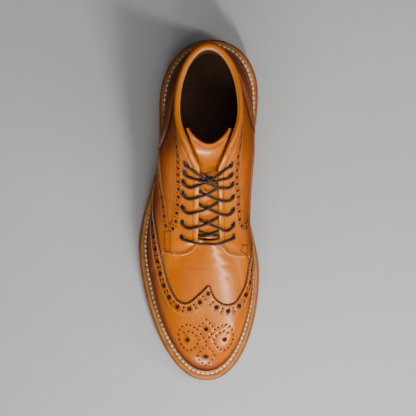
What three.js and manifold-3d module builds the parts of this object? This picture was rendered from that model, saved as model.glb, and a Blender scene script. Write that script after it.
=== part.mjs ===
// A right brogue boot in millimetres: toe toward -Y, heel toward +Y, inner side of the foot toward +X.
// The origin is under the middle of the sole, on the ground.
import * as THREE from "three";
import { mergeVertices } from "three/addons/utils/BufferGeometryUtils.js";
import { TessellateModifier } from "three/addons/modifiers/TessellateModifier.js";
import Module from "manifold-3d";

const wasm = await Module();
wasm.setup();

// Driving sizes of the sole
const SOLE_LENGTH = 308;
const BALL_WIDTH = 110;
const HEEL_HEIGHT = 26;
const HEEL_LIFTS = 3;
const TOP_PIECE = 6.5;
const TOE_SPRING = 9;
const OUTSOLE = 5.5;
const MIDSOLE = 4.5;
const INSOLE = 3;
const WELT = 3;
const WELT_LIP = 2;
const WELT_LIP_WIDTH = 2.3;
const WELT_GROOVE = 0.8;
const RIM_STEP = 0.8;
const WELT_STEP = 2.4;
const TOP_PIECE_INSET = 1.6;
const LIFT_INSET = 1.2;
const LIFT_FLARE = 0.4;

// Driving sizes of the upper
const FEATHER_INSET = 10;
const SHAFT_HEIGHT = 145;
const WALL = 2;
const OVERLAY = 1.2;
const GAP = 0.3;
const STRAP = 1.4;
const BINDING_HEIGHT = 2.2;
const TONGUE = 1.8;
const TONGUE_GAP = 1;
const TONGUE_FACE = -WALL - TONGUE_GAP;

// Driving sizes of the lace and its eyelets
const LACE = 2.5;
const EYELET_PAIRS = 7;
const EYELET_BORE = 3;
const EYELET_WALL = 0.5;
const EYELET_FLANGE = 0.8;
const EYELET_RISE = 0.7;
// Strands cross this far out from the facings' edges, nearer the one they leave.
// The heights of the two strands and the knot's size are shares of the lace's thickness.
const CROSSING = { reach: 7, share: 0.45, lower: 0.8, upper: 1.04 };
const KNOT = 1.15;

// How finely the curved walls are divided
const AROUND = 50;
const ROWS = [0, 0.06, 0.17, 0.31, 0.46, 0.61, 0.75, 0.88, 1];
const OVERLAY_FROM = 1;
const EYELET_SIDES = 7;
const LACE_SIDES = 6;
const STEP = { outline: 0.002, wall: 0.001, climb: 0.01 };
const MERGE = 1e-4;

// Half outlines of the sole. Widths are shares of the ball width and places along are shares of the length.
const OUTLINE = {
  lateral: {
    side: -1, ball: 0.576, ballAt: -0.111, waist: 0.4, waistAt: 0.2,
    heel: 0.4, heelAt: 0.302, toePower: 1.55, toeRound: 2.1,
  },
  medial: {
    side: 1, ball: 0.4245, ballAt: -0.183, waist: 0.323, waistAt: 0.042,
    heel: 0.409, heelAt: 0.339, toePower: 2, toeRound: 2.15,
  },
};
const TOE_TIP = -0.0136;
const HEEL_TIP = 0.0245;
const HEEL_ROUND = 2.1;

// The sole rises over the waist between these two places, and rolls up to the toe from the third.
const WAIST_FRONT = -0.052;
const WAIST_BACK = 0.205;
const TOE_ROLL = -0.2;
const TOE_ROLL_POWER = 1.8;
const BREAST = 0.252;

// Sections of the wall from heel back (way 0) to toe (way 1) on each side.
// inset: feather line from the sole edge, a share of the feather inset.
// bulge and flare: how far the section swells low and high, shares of the ball width.
// rise and drop: how tall the low and the high swell are, shares of the wall height.
const SECTIONS = {
  lateral: [
    { way: 0.0, inset: 0.96, bulge: 0.045, rise: 0.32, flare: -0.045, drop: 0.4 },
    { way: 0.12, inset: 0.96, bulge: 0.036, rise: 0.33, flare: -0.027, drop: 0.36 },
    { way: 0.24, inset: 1.0, bulge: 0.091, rise: 0.36, flare: 0.009, drop: 0.3 },
    { way: 0.36, inset: 1.02, bulge: 0.155, rise: 0.4, flare: 0.245, drop: 0.14 },
    { way: 0.48, inset: 1.04, bulge: 0.095, rise: 0.46, flare: 0.245, drop: 0.09 },
    { way: 0.6, inset: 1.12, bulge: 0.055, rise: 0.52, flare: 0.264, drop: 0.12 },
    { way: 0.8, inset: 1.12, bulge: 0.051, rise: 0.66, flare: 0.436, drop: 0.38 },
    { way: 1.0, inset: 1.12, bulge: 0.045, rise: 0.78, flare: 0.618, drop: 0.5 },
  ],
  medial: [
    { way: 0.0, inset: 0.96, bulge: 0.045, rise: 0.32, flare: -0.045, drop: 0.4 },
    { way: 0.12, inset: 0.96, bulge: 0.027, rise: 0.33, flare: -0.027, drop: 0.36 },
    { way: 0.24, inset: 0.88, bulge: 0.091, rise: 0.36, flare: 0.009, drop: 0.3 },
    { way: 0.36, inset: 0.88, bulge: 0.155, rise: 0.4, flare: 0.227, drop: 0.14 },
    { way: 0.48, inset: 0.92, bulge: 0.168, rise: 0.46, flare: 0.236, drop: 0.09 },
    { way: 0.6, inset: 1.0, bulge: 0.086, rise: 0.52, flare: 0.227, drop: 0.12 },
    { way: 0.8, inset: 1.08, bulge: 0.05, rise: 0.66, flare: 0.418, drop: 0.38 },
    { way: 1.0, inset: 1.12, bulge: 0.045, rise: 0.78, flare: 0.618, drop: 0.5 },
  ],
};

// The top line, half of it: collar back, collar side, throat corner and throat front.
// Shares of the ball width (across), the sole length (along) and the shaft height (up).
const TOP = {
  centre: 0.0055,
  back: { across: 0, along: 0.45, up: 1.028 },
  side: { across: 0.247, along: 0.279, up: 1.0 },
  sidePull: { across: 0.247, along: 0.214, up: 1.0 },
  cornerPull: { across: 0.145, along: 0.169, up: 1.083 },
  corner: { across: 0.078, along: 0.117, up: 0.883 },
  facingHigh: { across: 0.082, along: 0.065, up: 0.71 },
  facingLow: { across: 0.087, along: 0, up: 0.621 },
  throat: { across: 0.091, along: -0.083, up: 0.51 },
  throatSag: { along: -0.005, up: -0.004 },
};
// Where along a side those corners lie
const SIDE_WAY = 0.22;
const CORNER_WAY = 0.37;
const THROAT_WAY = 0.6;
const SOFTEN = 0.008;
const SOFTEN_FAR = 0.06;

// Edges of the overlays on the wall: way from heel back (0) to toe (1), and height on the wall (0 to 1).
const WING_EDGE = {
  lateral: [
    [0.43, 0.0], [0.44, 0.2], [0.458, 0.29], [0.483, 0.335], [0.515, 0.39], [0.552, 0.46], [0.598, 0.525],
    [0.652, 0.569], [0.732, 0.606], [0.807, 0.625], [0.883, 0.645], [0.925, 0.65], [0.955, 0.68],
    [0.978, 0.75], [0.995, 0.8],
  ],
  medial: [
    [0.53, 0.0], [0.545, 0.16], [0.575, 0.29], [0.612, 0.4], [0.652, 0.488], [0.738, 0.594], [0.828, 0.64],
    [0.907, 0.66], [0.938, 0.656], [0.963, 0.68], [0.983, 0.731], [0.999, 0.79],
  ],
};
const TAB_EDGE = {
  lateral: [
    [0.655, 0.6], [0.662, 0.644], [0.72, 0.735], [0.775, 0.8], [0.83, 0.85], [0.862, 0.888],
    [0.852, 0.925], [0.81, 0.958], [0.71, 0.985], [0.608, 1.0],
  ],
  medial: [
    [0.682, 0.56], [0.687, 0.6], [0.745, 0.705], [0.807, 0.788], [0.855, 0.845], [0.885, 0.881],
    [0.88, 0.925], [0.82, 0.965], [0.71, 0.985], [0.608, 1.0],
  ],
};
const COUNTER_EDGE = {
  lateral: [
    [0.365, 0.0], [0.356, 0.16], [0.345, 0.3], [0.327, 0.425], [0.295, 0.519], [0.262, 0.59], [0.2, 0.67],
    [0.13, 0.765], [0.09, 0.87], [0.07, 1.0],
  ],
  medial: [
    [0.325, 0.0], [0.314, 0.18], [0.298, 0.306], [0.275, 0.419], [0.242, 0.513], [0.2, 0.606], [0.15, 0.68],
    [0.11, 0.78], [0.083, 0.87], [0.068, 1.0],
  ],
};
const OPENING_EDGE = {
  lateral: [
    [0.04, 0.8], [0.16, 0.8], [0.25, 0.79], [0.305, 0.8], [0.335, 0.79], [0.357, 0.762], [0.412, 0.738],
    [0.465, 0.733], [0.518, 0.72], [0.543, 0.712], [0.558, 0.69], [0.557, 0.66], [0.54, 0.64],
    [0.517, 0.618], [0.49, 0.588], [0.472, 0.55], [0.438, 0.495], [0.403, 0.445], [0.36, 0.4], [0.3, 0.36],
    [0.04, 0.34],
  ],
  medial: [
    [0.04, 0.8], [0.16, 0.8], [0.25, 0.8], [0.3, 0.805], [0.335, 0.8], [0.357, 0.765], [0.42, 0.742],
    [0.45, 0.708], [0.487, 0.7], [0.522, 0.672], [0.543, 0.655], [0.554, 0.61], [0.55, 0.52],
    [0.526, 0.43], [0.48, 0.39], [0.42, 0.372], [0.36, 0.36], [0.3, 0.35], [0.04, 0.34],
  ],
};
const EDGE_GAP = { way: 0.003, up: 0.006 };
const BINDING_WAY = 0.335;
const BINDING_CROWN = { from: 0.4, to: 0.6, shoulder: 0.7 };
const STRAP_PANEL = { way: 0.058, from: 0.915, to: 0.985 };

// Eyelets, from the lowest pair to the top one
const EYELETS = {
  lateral: [
    { way: 0.595, up: 0.838 }, { way: 0.553, up: 0.838 }, { way: 0.51, up: 0.838 },
    { way: 0.465, up: 0.838 }, { way: 0.425, up: 0.848 }, { way: 0.39, up: 0.868 },
    { way: 0.358, up: 0.895 },
  ],
  medial: [
    { way: 0.605, up: 0.828 }, { way: 0.56, up: 0.822 }, { way: 0.513, up: 0.836 },
    { way: 0.465, up: 0.842 }, { way: 0.42, up: 0.856 }, { way: 0.385, up: 0.872 },
    { way: 0.354, up: 0.9 },
  ],
};

// The tongue follows the inside of the wall from this way down to the throat, and spreads this far down it.
const TONGUE_TOP = 0.32;
const TONGUE_SPREAD = 0.82;
const TONGUE_TUCK = 0.05;
const TONGUE_TUCKS = 2;
const TONGUE_BRIDGE = [-0.5, 0, 0.5];

const FINISHES = {
  leather: { color: "#cd690f", roughness: 0.4 },
  welt: { color: "#cd874b", roughness: 0.5 },
  edge: { color: "#8a5228", roughness: 0.5 },
  rubber: { color: "#6b4426", roughness: 0.8 },
  insole: { color: "#b98a55", roughness: 0.7 },
  binding: { color: "#e0b27a", roughness: 0.5 },
  lace: { color: "#4a4038", roughness: 0.6 },
  metal: { color: "#8d8a86", roughness: 0.35, metalness: 1 },
};

// Small helpers
const clamp = (t, low = 0, high = 1) => Math.min(high, Math.max(low, t));
const mix = (a, b, t) => a + (b - a) * t;
const ease = (t) => clamp(t) ** 2 * (3 - 2 * clamp(t));
const vec = (x, y, z) => new THREE.Vector3(x, y, z);
const along = (share) => share * SOLE_LENGTH;
const across = (share) => share * BALL_WIDTH;
const rounding = (t, power, round) => Math.max(0, 1 - clamp(t) ** power) ** (1 / round);
const place = (p) => vec(across(p.across), along(p.along), SHAFT_HEIGHT * p.up);

// Height of the sole's underside above the ground
function tread(y) {
  const waist = HEEL_HEIGHT * ease((y - along(WAIST_FRONT)) / along(WAIST_BACK - WAIST_FRONT));
  const roll = clamp((along(TOE_ROLL) - y) / (SOLE_LENGTH / 2 + along(TOE_ROLL)));
  return waist + TOE_SPRING * roll ** TOE_ROLL_POWER;
}

// How far the sole reaches to one side at a place along it
function soleEdge(half, y) {
  const [ballY, waistY, heelY] = [along(half.ballAt), along(half.waistAt), along(half.heelAt)];
  const reach = (tip, width, t, power, round) =>
    across(tip) + half.side * (across(width) - half.side * across(tip)) * rounding(t, power, round);
  if (y < ballY)
    return reach(TOE_TIP, half.ball, (ballY - y) / (ballY + SOLE_LENGTH / 2), half.toePower, half.toeRound);
  if (y > heelY)
    return reach(HEEL_TIP, half.heel, (y - heelY) / (SOLE_LENGTH / 2 - heelY), HEEL_ROUND, HEEL_ROUND);
  const waist = mix(half.ball, half.waist, ease((y - ballY) / (waistY - ballY)));
  const width = y < waistY ? waist : mix(half.waist, half.heel, ease((y - waistY) / (heelY - waistY)));
  return half.side * across(width);
}

// The sole's edge by share of its run from heel back to toe tip, for each side
const RUN_STEPS = 1200;
function edgeRun(half) {
  const run = [];
  let length = 0;
  for (let i = 0; i <= RUN_STEPS; i++) {
    const y = (SOLE_LENGTH / 2) * Math.cos((Math.PI * i) / RUN_STEPS);
    const x = soleEdge(half, y);
    if (i) length += Math.hypot(x - run[i - 1].x, y - run[i - 1].y);
    run.push({ x, y, length });
  }
  return (way) => {
    const wanted = way * length;
    let [low, high] = [0, RUN_STEPS];
    while (high - low > 1) {
      const middle = (low + high) >> 1;
      if (run[middle].length <= wanted) low = middle;
      else high = middle;
    }
    const [a, b] = [run[low], run[high]];
    const t = clamp((wanted - a.length) / (b.length - a.length || 1));
    return vec(mix(a.x, b.x, t), mix(a.y, b.y, t), 0);
  };
}
const RUN = { lateral: edgeRun(OUTLINE.lateral), medial: edgeRun(OUTLINE.medial) };

// u goes round the boot from heel back (0) by the lateral side to the toe (0.5),
// and back by the medial side.
const wrap = (u) => ((u % 1) + 1) % 1;
const sideOf = (u) => (wrap(u) <= 0.5 ? "lateral" : "medial");
const wayOf = (u) => (wrap(u) <= 0.5 ? 2 * wrap(u) : 2 - 2 * wrap(u));
const roundOf = (side, way) => (side === "lateral" ? way / 2 : 1 - way / 2);
const outline = (u) => RUN[sideOf(u)](wayOf(u));

function outward(u) {
  const run = outline(u + STEP.outline).sub(outline(u - STEP.outline)).normalize();
  return vec(run.y, -run.x, 0);
}

// A smooth curve through one column of a side's sections, level at both ends
function section(u, column) {
  const rows = SECTIONS[sideOf(u)];
  const way = wayOf(u);
  const slope = (k) =>
    k === 0 || k === rows.length - 1
      ? 0
      : (rows[k + 1][column] - rows[k - 1][column]) / (rows[k + 1].way - rows[k - 1].way);
  let k = 0;
  while (k < rows.length - 2 && rows[k + 1].way <= way) k++;
  const [a, b] = [rows[k], rows[k + 1]];
  const width = b.way - a.way;
  const t = (way - a.way) / width;
  const rest = 1 - t;
  return (
    (1 + 2 * t) * rest ** 2 * a[column] + t * rest ** 2 * width * slope(k) +
    t ** 2 * (3 - 2 * t) * b[column] - t ** 2 * rest * width * slope(k + 1)
  );
}

const bezier = (a, b, c, d, t) => new THREE.CubicBezierCurve3(a, b, c, d).getPoint(t);

// The top line before its corners are softened
function topRaw(u) {
  const way = wayOf(u);
  const turn = (from, to) => clamp((way - from) / (to - from));
  let p;
  if (way < SIDE_WAY) {
    const [back, side] = [place(TOP.back), place(TOP.side)];
    const angle = (turn(0, SIDE_WAY) * Math.PI) / 2;
    const behind = Math.cos(angle);
    p = vec(side.x * Math.sin(angle), mix(side.y, back.y, behind), mix(side.z, back.z, behind ** 2));
  } else if (way < CORNER_WAY) {
    const pulls = [TOP.side, TOP.sidePull, TOP.cornerPull, TOP.corner].map(place);
    p = bezier(...pulls, turn(SIDE_WAY, CORNER_WAY));
  } else if (way < THROAT_WAY) {
    const pulls = [TOP.corner, TOP.facingHigh, TOP.facingLow, TOP.throat].map(place);
    p = bezier(...pulls, turn(CORNER_WAY, THROAT_WAY));
  } else {
    const t = turn(THROAT_WAY, 1);
    const sag = Math.sin((t * Math.PI) / 2);
    p = place(TOP.throat);
    p.x *= 1 - t;
    p.y += along(TOP.throatSag.along) * sag;
    p.z += SHAFT_HEIGHT * TOP.throatSag.up * sag;
  }
  p.x = OUTLINE[sideOf(u)].side * p.x + across(TOP.centre);
  return p;
}

// The top line averaged over a stretch, which rounds its corners
function topLine(u, reach) {
  const samples = 7;
  const fall = 3;
  const sum = vec(0, 0, 0);
  let weight = 0;
  for (let k = -samples; k <= samples; k++) {
    const w = Math.exp(-fall * (k / (samples + 1)) ** 2);
    sum.addScaledVector(topRaw(u + (reach * k) / samples), w);
    weight += w;
  }
  return sum.divideScalar(weight);
}

// The bed is the midsole's top. w is how far in from the sole's edge.
const BED = OUTSOLE + MIDSOLE;
const feather = (u) => FEATHER_INSET * section(u, "inset");
function soleKnots(u) {
  return [0, feather(u), feather(u) + WALL + GAP].map((w) => {
    const p = outline(u).addScaledVector(outward(u), -w);
    p.z = tread(p.y);
    return { w, p };
  });
}
function soleAt(u, w, rise) {
  const knots = soleKnots(u);
  const k = w <= knots[1].w ? 0 : 1;
  const t = (w - knots[k].w) / (knots[k + 1].w - knots[k].w);
  return knots[k].p.clone().lerp(knots[k + 1].p, t).add(vec(0, 0, rise));
}

// The four control points of the wall's section at u, from the feather line to the top line
const known = new Map();
function sectionPulls(u) {
  const key = wrap(u).toFixed(7);
  if (known.has(key)) return known.get(key);
  const out = outward(u);
  const foot = soleAt(u, feather(u), BED + GAP);
  const top = topLine(u, SOFTEN);
  const far = topLine(u, SOFTEN_FAR);
  const height = far.z - foot.z;
  const low = foot.clone().addScaledVector(out, across(section(u, "bulge")));
  low.z += height * section(u, "rise");
  const high = far.addScaledVector(out, across(section(u, "flare")));
  high.z -= height * section(u, "drop");
  known.set(key, [foot, low, high, top]);
  return known.get(key);
}
const wallMiddle = (u, v) => bezier(...sectionPulls(u), v);

// A point at some distance outside the wall's outer face.
// Below the foot's height on the wall, the way out turns level to meet the sole.
const FOOT = 0.1;
function wallAt(u, v, off = 0) {
  if (v <= 0) return soleAt(u, feather(u) - off, BED + GAP);
  const run = wallMiddle(u + STEP.wall, v).sub(wallMiddle(u - STEP.wall, v));
  const climb = wallMiddle(u, v + STEP.wall).sub(wallMiddle(u, v - STEP.wall));
  const out = run.cross(climb).normalize();
  out.z *= clamp(v / FOOT);
  return wallMiddle(u, v).addScaledVector(out.normalize(), off);
}
function wallFrame(u, v) {
  const at = wallMiddle(u, v);
  const out = wallAt(u, v, 1).sub(at).normalize();
  const up = wallMiddle(u, v).sub(wallMiddle(u, v - STEP.climb)).normalize();
  up.addScaledVector(out, -up.dot(out)).normalize();
  return { at, out, up };
}

// Closed solids from grids of points
function solidFrom(points, faces) {
  const geometry = new THREE.BufferGeometry().setFromPoints(points);
  geometry.setIndex(faces);
  return geometry;
}

// A band swept round the boot: each station is a closed ring of points, counted the same way.
// From the point named turn on, the facets are split along their other diagonal.
function ringSolid(stations, { closed = true, turn = Infinity } = {}) {
  const size = stations[0].length;
  const faces = [];
  const count = stations.length;
  for (let i = 0; i < (closed ? count : count - 1); i++)
    for (let j = 0; j < size; j++) {
      const [a, b] = [i * size + j, i * size + ((j + 1) % size)];
      const [c, d] = [((i + 1) % count) * size + j, ((i + 1) % count) * size + ((j + 1) % size)];
      if (j < turn) faces.push(a, b, d, a, d, c);
      else faces.push(a, b, c, b, d, c);
    }
  if (!closed)
    for (let j = 1; j < size - 1; j++) {
      const last = (count - 1) * size;
      faces.push(0, j + 1, j, last, last + j, last + j + 1);
    }
  return solidFrom(stations.flat(), faces);
}

// A slab between an upper and a lower grid of the same size
function slabSolid(upper, lower) {
  const [rows, columns] = [upper.length, upper[0].length];
  const at = (i, j, under) => (under ? rows * columns : 0) + i * columns + j;
  const faces = [];
  const quad = (a, b, c, d) => faces.push(a, b, c, a, c, d);
  for (let i = 0; i < rows - 1; i++)
    for (let j = 0; j < columns - 1; j++) {
      quad(at(i, j), at(i, j + 1), at(i + 1, j + 1), at(i + 1, j));
      quad(at(i, j, 1), at(i + 1, j, 1), at(i + 1, j + 1, 1), at(i, j + 1, 1));
    }
  for (let j = 0; j < columns - 1; j++) {
    quad(at(0, j, 1), at(0, j + 1, 1), at(0, j + 1), at(0, j));
    quad(at(rows - 1, j), at(rows - 1, j + 1), at(rows - 1, j + 1, 1), at(rows - 1, j, 1));
  }
  for (let i = 0; i < rows - 1; i++) {
    quad(at(i, 0), at(i + 1, 0), at(i + 1, 0, 1), at(i, 0, 1));
    quad(at(i, columns - 1, 1), at(i + 1, columns - 1, 1), at(i + 1, columns - 1), at(i, columns - 1));
  }
  return solidFrom([...upper.flat(), ...lower.flat()], faces);
}

// Only places and faces, with shared points merged and every face turned outward
function bareGeometry(geometry) {
  const bare = geometry.clone();
  for (const name of ["normal", "uv"]) bare.deleteAttribute(name);
  const merged = mergeVertices(bare, MERGE);
  const [at, index] = [merged.attributes.position, merged.index.array];
  const corner = (k) => vec(at.getX(index[k]), at.getY(index[k]), at.getZ(index[k]));
  let volume = 0;
  for (let i = 0; i < index.length; i += 3) volume += corner(i).dot(corner(i + 1).cross(corner(i + 2)));
  if (volume < 0)
    for (let i = 0; i < index.length; i += 3) [index[i], index[i + 1]] = [index[i + 1], index[i]];
  return merged;
}
function toManifold(geometry) {
  const { attributes, index } = bareGeometry(geometry);
  return new wasm.Manifold(
    new wasm.Mesh({
      numProp: 3,
      vertProperties: new Float32Array(attributes.position.array),
      triVerts: new Uint32Array(index.array),
    }),
  );
}
const CLEAN = 0.1;
function fromManifold(solid) {
  const mesh = solid.asOriginal().simplify(CLEAN).getMesh();
  const geometry = new THREE.BufferGeometry();
  geometry.setAttribute("position", new THREE.BufferAttribute(new Float32Array(mesh.vertProperties), 3));
  geometry.setIndex(new THREE.BufferAttribute(new Uint32Array(mesh.triVerts), 1));
  return geometry;
}

// Sole layers share their facets, so that each lies flat on the one below.
const stations = Array.from({ length: AROUND }, (_, i) => i / AROUND);
const rims = {
  edge: () => 0,
  step: () => RIM_STEP,
  foot: (u) => soleKnots(u)[1].w,
  inner: (u) => soleKnots(u)[2].w,
};
function layer(under, over, low, high) {
  const ring = (name, rise) => stations.map((u) => soleAt(u, rims[name](u), rise));
  const rings = [...under.map((name) => ring(name, low)), ...over.map((name) => ring(name, high))];
  const last = rings.length - 1;
  const at = (r, i) => r * AROUND + ((i + AROUND) % AROUND);
  const faces = [];
  const quad = (a, b, c, d) => faces.push(a, b, c, a, c, d);
  for (let r = 0; r < last; r++)
    for (let i = 0; i < AROUND; i++) quad(at(r, i), at(r, i + 1), at(r + 1, i + 1), at(r + 1, i));
  for (let i = 0; i < AROUND / 2; i++) {
    faces.push(at(0, i), at(0, -i - 1), at(0, i + 1), at(0, i), at(0, -i), at(0, -i - 1));
    quad(at(last, i), at(last, i + 1), at(last, -i - 1), at(last, -i));
  }
  return solidFrom(rings.flat(), faces);
}

// A point just outside the wall at some height above the foot line, found by halving
const HALVINGS = 20;
function besideWall(u, rise) {
  const foot = wallMiddle(u, 0).z;
  let [low, high] = [0, 2 * FOOT];
  for (let k = 0; k < HALVINGS; k++) {
    const middle = (low + high) / 2;
    if (wallMiddle(u, middle).z - foot < rise) low = middle;
    else high = middle;
  }
  const p = wallAt(u, low, GAP);
  return p.setZ(foot + rise);
}
function weltSolid() {
  const stand = WELT + WELT_LIP;
  return ringSolid(
    stations.map((u) => {
      const out = outward(u);
      const lift = (w, z) => soleAt(u, w, BED + GAP + z);
      const lip = besideWall(u, stand);
      const lipEdge = lip.clone().addScaledVector(out, WELT_LIP_WIDTH);
      const groove = lip.clone().addScaledVector(out, WELT_LIP_WIDTH + WELT_GROOVE);
      groove.z -= WELT_LIP;
      return [lip, lipEdge, groove, lift(WELT_STEP, WELT), lift(WELT_STEP, 0), lift(feather(u) - GAP, 0)];
    }),
  );
}

// Heel pieces are cut off by the breast, which is a plane across the waist.
const HEEL_STEPS = 22;
function heelShape(inset) {
  const shape = new THREE.Shape();
  const breast = along(BREAST);
  const rim = [];
  for (const half of [OUTLINE.medial, OUTLINE.lateral]) {
    const run = [];
    for (let i = 0; i <= HEEL_STEPS / 2; i++) {
      const y = mix(breast, SOLE_LENGTH / 2 - inset, Math.sin((i / HEEL_STEPS) * Math.PI));
      const t = (y - breast) / (SOLE_LENGTH / 2 - inset - breast);
      const grown = Math.min(mix(breast, SOLE_LENGTH / 2, t), SOLE_LENGTH / 2);
      run.push([soleEdge(half, grown) - half.side * inset, y]);
    }
    rim.push(...(half.side > 0 ? run : run.reverse().slice(1)));
  }
  rim.forEach(([x, y], k) => (k ? shape.lineTo(x, y) : shape.moveTo(x, y)));
  return shape;
}
function heelPiece(inset, low, high) {
  const geometry = new THREE.ExtrudeGeometry(heelShape(inset), { depth: high - low, bevelEnabled: false });
  return geometry.translate(0, 0, low);
}

// The upper: one wall from the feather line to the top line
const grid = (off, rows) => stations.map((u) => rows.map((v) => wallAt(u, v, off)));
function wallSolid(inner, outer, rows) {
  const [near, far] = [grid(inner, rows), grid(outer, rows)];
  const turn = rows.length - 1;
  return ringSolid(stations.map((u, i) => [...far[i], ...near[i].slice().reverse()]), { turn });
}

// A cutter that stands on the wall inside a drawn edge
const CHART = { around: 700, up: 120, step: 18, rounds: 14 };
const CUT = { from: -4 * GAP, to: GAP + 3 * OVERLAY };
function cutter(edge) {
  const shape = new THREE.Shape(edge.map(([u, v]) => new THREE.Vector2(u * CHART.around, v * CHART.up)));
  let block = new THREE.ExtrudeGeometry(shape, { depth: 1, bevelEnabled: false });
  for (const name of ["normal", "uv"]) block.deleteAttribute(name);
  block = new TessellateModifier(CHART.step, CHART.rounds).modify(block);
  const at = block.attributes.position;
  for (let i = 0; i < at.count; i++) {
    const p = wallAt(at.getX(i) / CHART.around, at.getY(i) / CHART.up, mix(CUT.from, CUT.to, at.getZ(i)));
    at.setXYZ(i, p.x, p.y, p.z);
  }
  return toManifold(block);
}
const onSide = (side, edge, way = 0, up = 0) => edge.map(([w, v]) => [roundOf(side, w + way), v + up]);
const overlay = toManifold(wallSolid(GAP, GAP + OVERLAY, ROWS.slice(OVERLAY_FROM)));

function wingCap() {
  const lateral = onSide("lateral", WING_EDGE.lateral);
  const medial = onSide("medial", WING_EDGE.medial).reverse();
  return overlay.intersect(cutter([...lateral, ...medial]));
}
function heelCounter() {
  const lateral = onSide("lateral", COUNTER_EDGE.lateral);
  const medial = COUNTER_EDGE.medial.map(([w, v]) => [-w / 2, v]).reverse();
  return overlay.intersect(cutter([...lateral, ...medial]));
}
function quarter(side) {
  const wing = WING_EDGE[side].filter(([w, v]) => v < TAB_EDGE[side][0][1] && w < TAB_EDGE[side][0][0]);
  const edge = [
    ...onSide(side, COUNTER_EDGE[side], EDGE_GAP.way).reverse(),
    ...onSide(side, wing, -EDGE_GAP.way, EDGE_GAP.up),
    ...onSide(side, TAB_EDGE[side]),
  ];
  const whole = overlay.intersect(cutter(edge));
  return whole.subtract(cutter(onSide(side, OPENING_EDGE[side])));
}

// Eyelets stand square on the quarter's outer face.
const seat = GAP + OVERLAY + GAP;
function eyeletFrame({ side, way, up }) {
  const u = roundOf(side, way);
  const frame = wallFrame(u, up);
  const turn = new THREE.Quaternion().setFromUnitVectors(vec(0, 1, 0), frame.out);
  return { ...frame, turn };
}
const turned = (profile) =>
  new THREE.LatheGeometry(profile.map(([r, z]) => new THREE.Vector2(r, z)), EYELET_SIDES);
function eyeletHole(eyelet) {
  const bore = EYELET_BORE / 2 + EYELET_WALL + GAP;
  const rest = bore + EYELET_FLANGE;
  const { at, turn } = eyeletFrame(eyelet);
  const deep = 3 * WALL;
  const [low, high] = [seat - GAP, deep];
  const drill = turned([[0, -deep], [bore, -deep], [bore, low], [rest, low], [rest, high], [0, high]]);
  return toManifold(drill.applyQuaternion(turn).translate(...at));
}
function eyeletGeometry() {
  const [bore, barrel] = [EYELET_BORE / 2, EYELET_BORE / 2 + EYELET_WALL];
  const flange = barrel + EYELET_FLANGE;
  return turned([
    [bore, -WALL], [barrel, -WALL], [barrel, seat], [flange, seat], [barrel, seat + EYELET_RISE],
    [bore, seat + EYELET_RISE / 2], [bore, -WALL],
  ]);
}

// The rolled binding rides on the top edge of wall and overlay together.
function bindingSolid() {
  const steps = Math.floor((AROUND * BINDING_WAY) / 2);
  const ways = Array.from({ length: 2 * steps + 1 }, (_, k) => (k - steps) / AROUND);
  const [near, far] = [-WALL, GAP + OVERLAY];
  const { from, to, shoulder } = BINDING_CROWN;
  const bead = [
    { out: near, up: GAP },
    { out: far, up: GAP },
    { out: far, up: BINDING_HEIGHT * shoulder },
    { out: mix(near, far, to), up: BINDING_HEIGHT },
    { out: mix(near, far, from), up: BINDING_HEIGHT },
    { out: near, up: BINDING_HEIGHT * shoulder },
  ];
  return ringSolid(
    ways.map((u) => {
      const { at, out, up } = wallFrame(u, 1);
      return bead.map((b) => at.clone().addScaledVector(out, b.out).addScaledVector(up, b.up));
    }),
    { closed: false },
  );
}
function strapSolid() {
  const { way, from, to } = STRAP_PANEL;
  const steps = 6;
  const face = (off) =>
    Array.from({ length: steps + 1 }, (_, i) =>
      [from, mix(from, to, 0.5), to].map((v) => wallAt(mix(-way, way, i / steps) / 2, v, off)),
    );
  const low = GAP + OVERLAY + 2 * GAP;
  return slabSolid(face(low + STRAP), face(low));
}

// The arch of the tongue between the facings' edges a and b, which it leaves in the facings' slope
function tongueArch([beforeA, a], [b, beforeB]) {
  const pull = a.distanceTo(b) / 3;
  const leave = (from, edge) => edge.clone().addScaledVector(edge.clone().sub(from).normalize(), pull);
  const curve = [a, leave(beforeA, a), leave(beforeB, b), b];
  return TONGUE_BRIDGE.map((t) => bezier(...curve, (t + 1) / 2));
}

// The tongue lies under both facings and bridges the throat between them.
// Its front rows are tucked in under the vamp.
function tongueRow(way, tuck, off) {
  const spread = [TONGUE_SPREAD - tuck / 2, ROWS.at(-2) - tuck / 2, 1 - tuck];
  const left = spread.map((v) => wallAt(roundOf("lateral", way), v, off));
  const right = spread.map((v) => wallAt(roundOf("medial", way), v, off)).reverse();
  const tucked = () => TONGUE_BRIDGE.map((t) => wallAt(0.5 + (t * (1 - THROAT_WAY)) / 2, 1 - tuck, off));
  const bridge = tuck > 0 ? tucked() : tongueArch(left.slice(-2), right.slice(0, 2));
  return [...left, ...bridge, ...right];
}
function tongueSolid() {
  const face = (off) => {
    const between = (way) => way > TONGUE_TOP - STEP.climb && way < THROAT_WAY - STEP.climb;
    const ways = stations.map((u) => 2 * u).filter(between);
    const rows = ways.map((way) => tongueRow(way, 0, off));
    const deep = off - TONGUE_GAP / 2;
    for (let k = 0; k <= TONGUE_TUCKS; k++) rows.push(tongueRow(THROAT_WAY, k * TONGUE_TUCK, deep));
    return rows;
  };
  return slabSolid(face(TONGUE_FACE), face(TONGUE_FACE - TONGUE));
}

// Round lace along a few points
function cord(points, steps) {
  const ring = new THREE.Shape(
    Array.from({ length: LACE_SIDES }, (_, k) => {
      const angle = (2 * Math.PI * k) / LACE_SIDES;
      return new THREE.Vector2((Math.cos(angle) * LACE) / 2, (Math.sin(angle) * LACE) / 2);
    }),
  );
  const path = new THREE.CatmullRomCurve3(points);
  return new THREE.ExtrudeGeometry(ring, { steps: steps * (points.length - 1), extrudePath: path });
}

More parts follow.
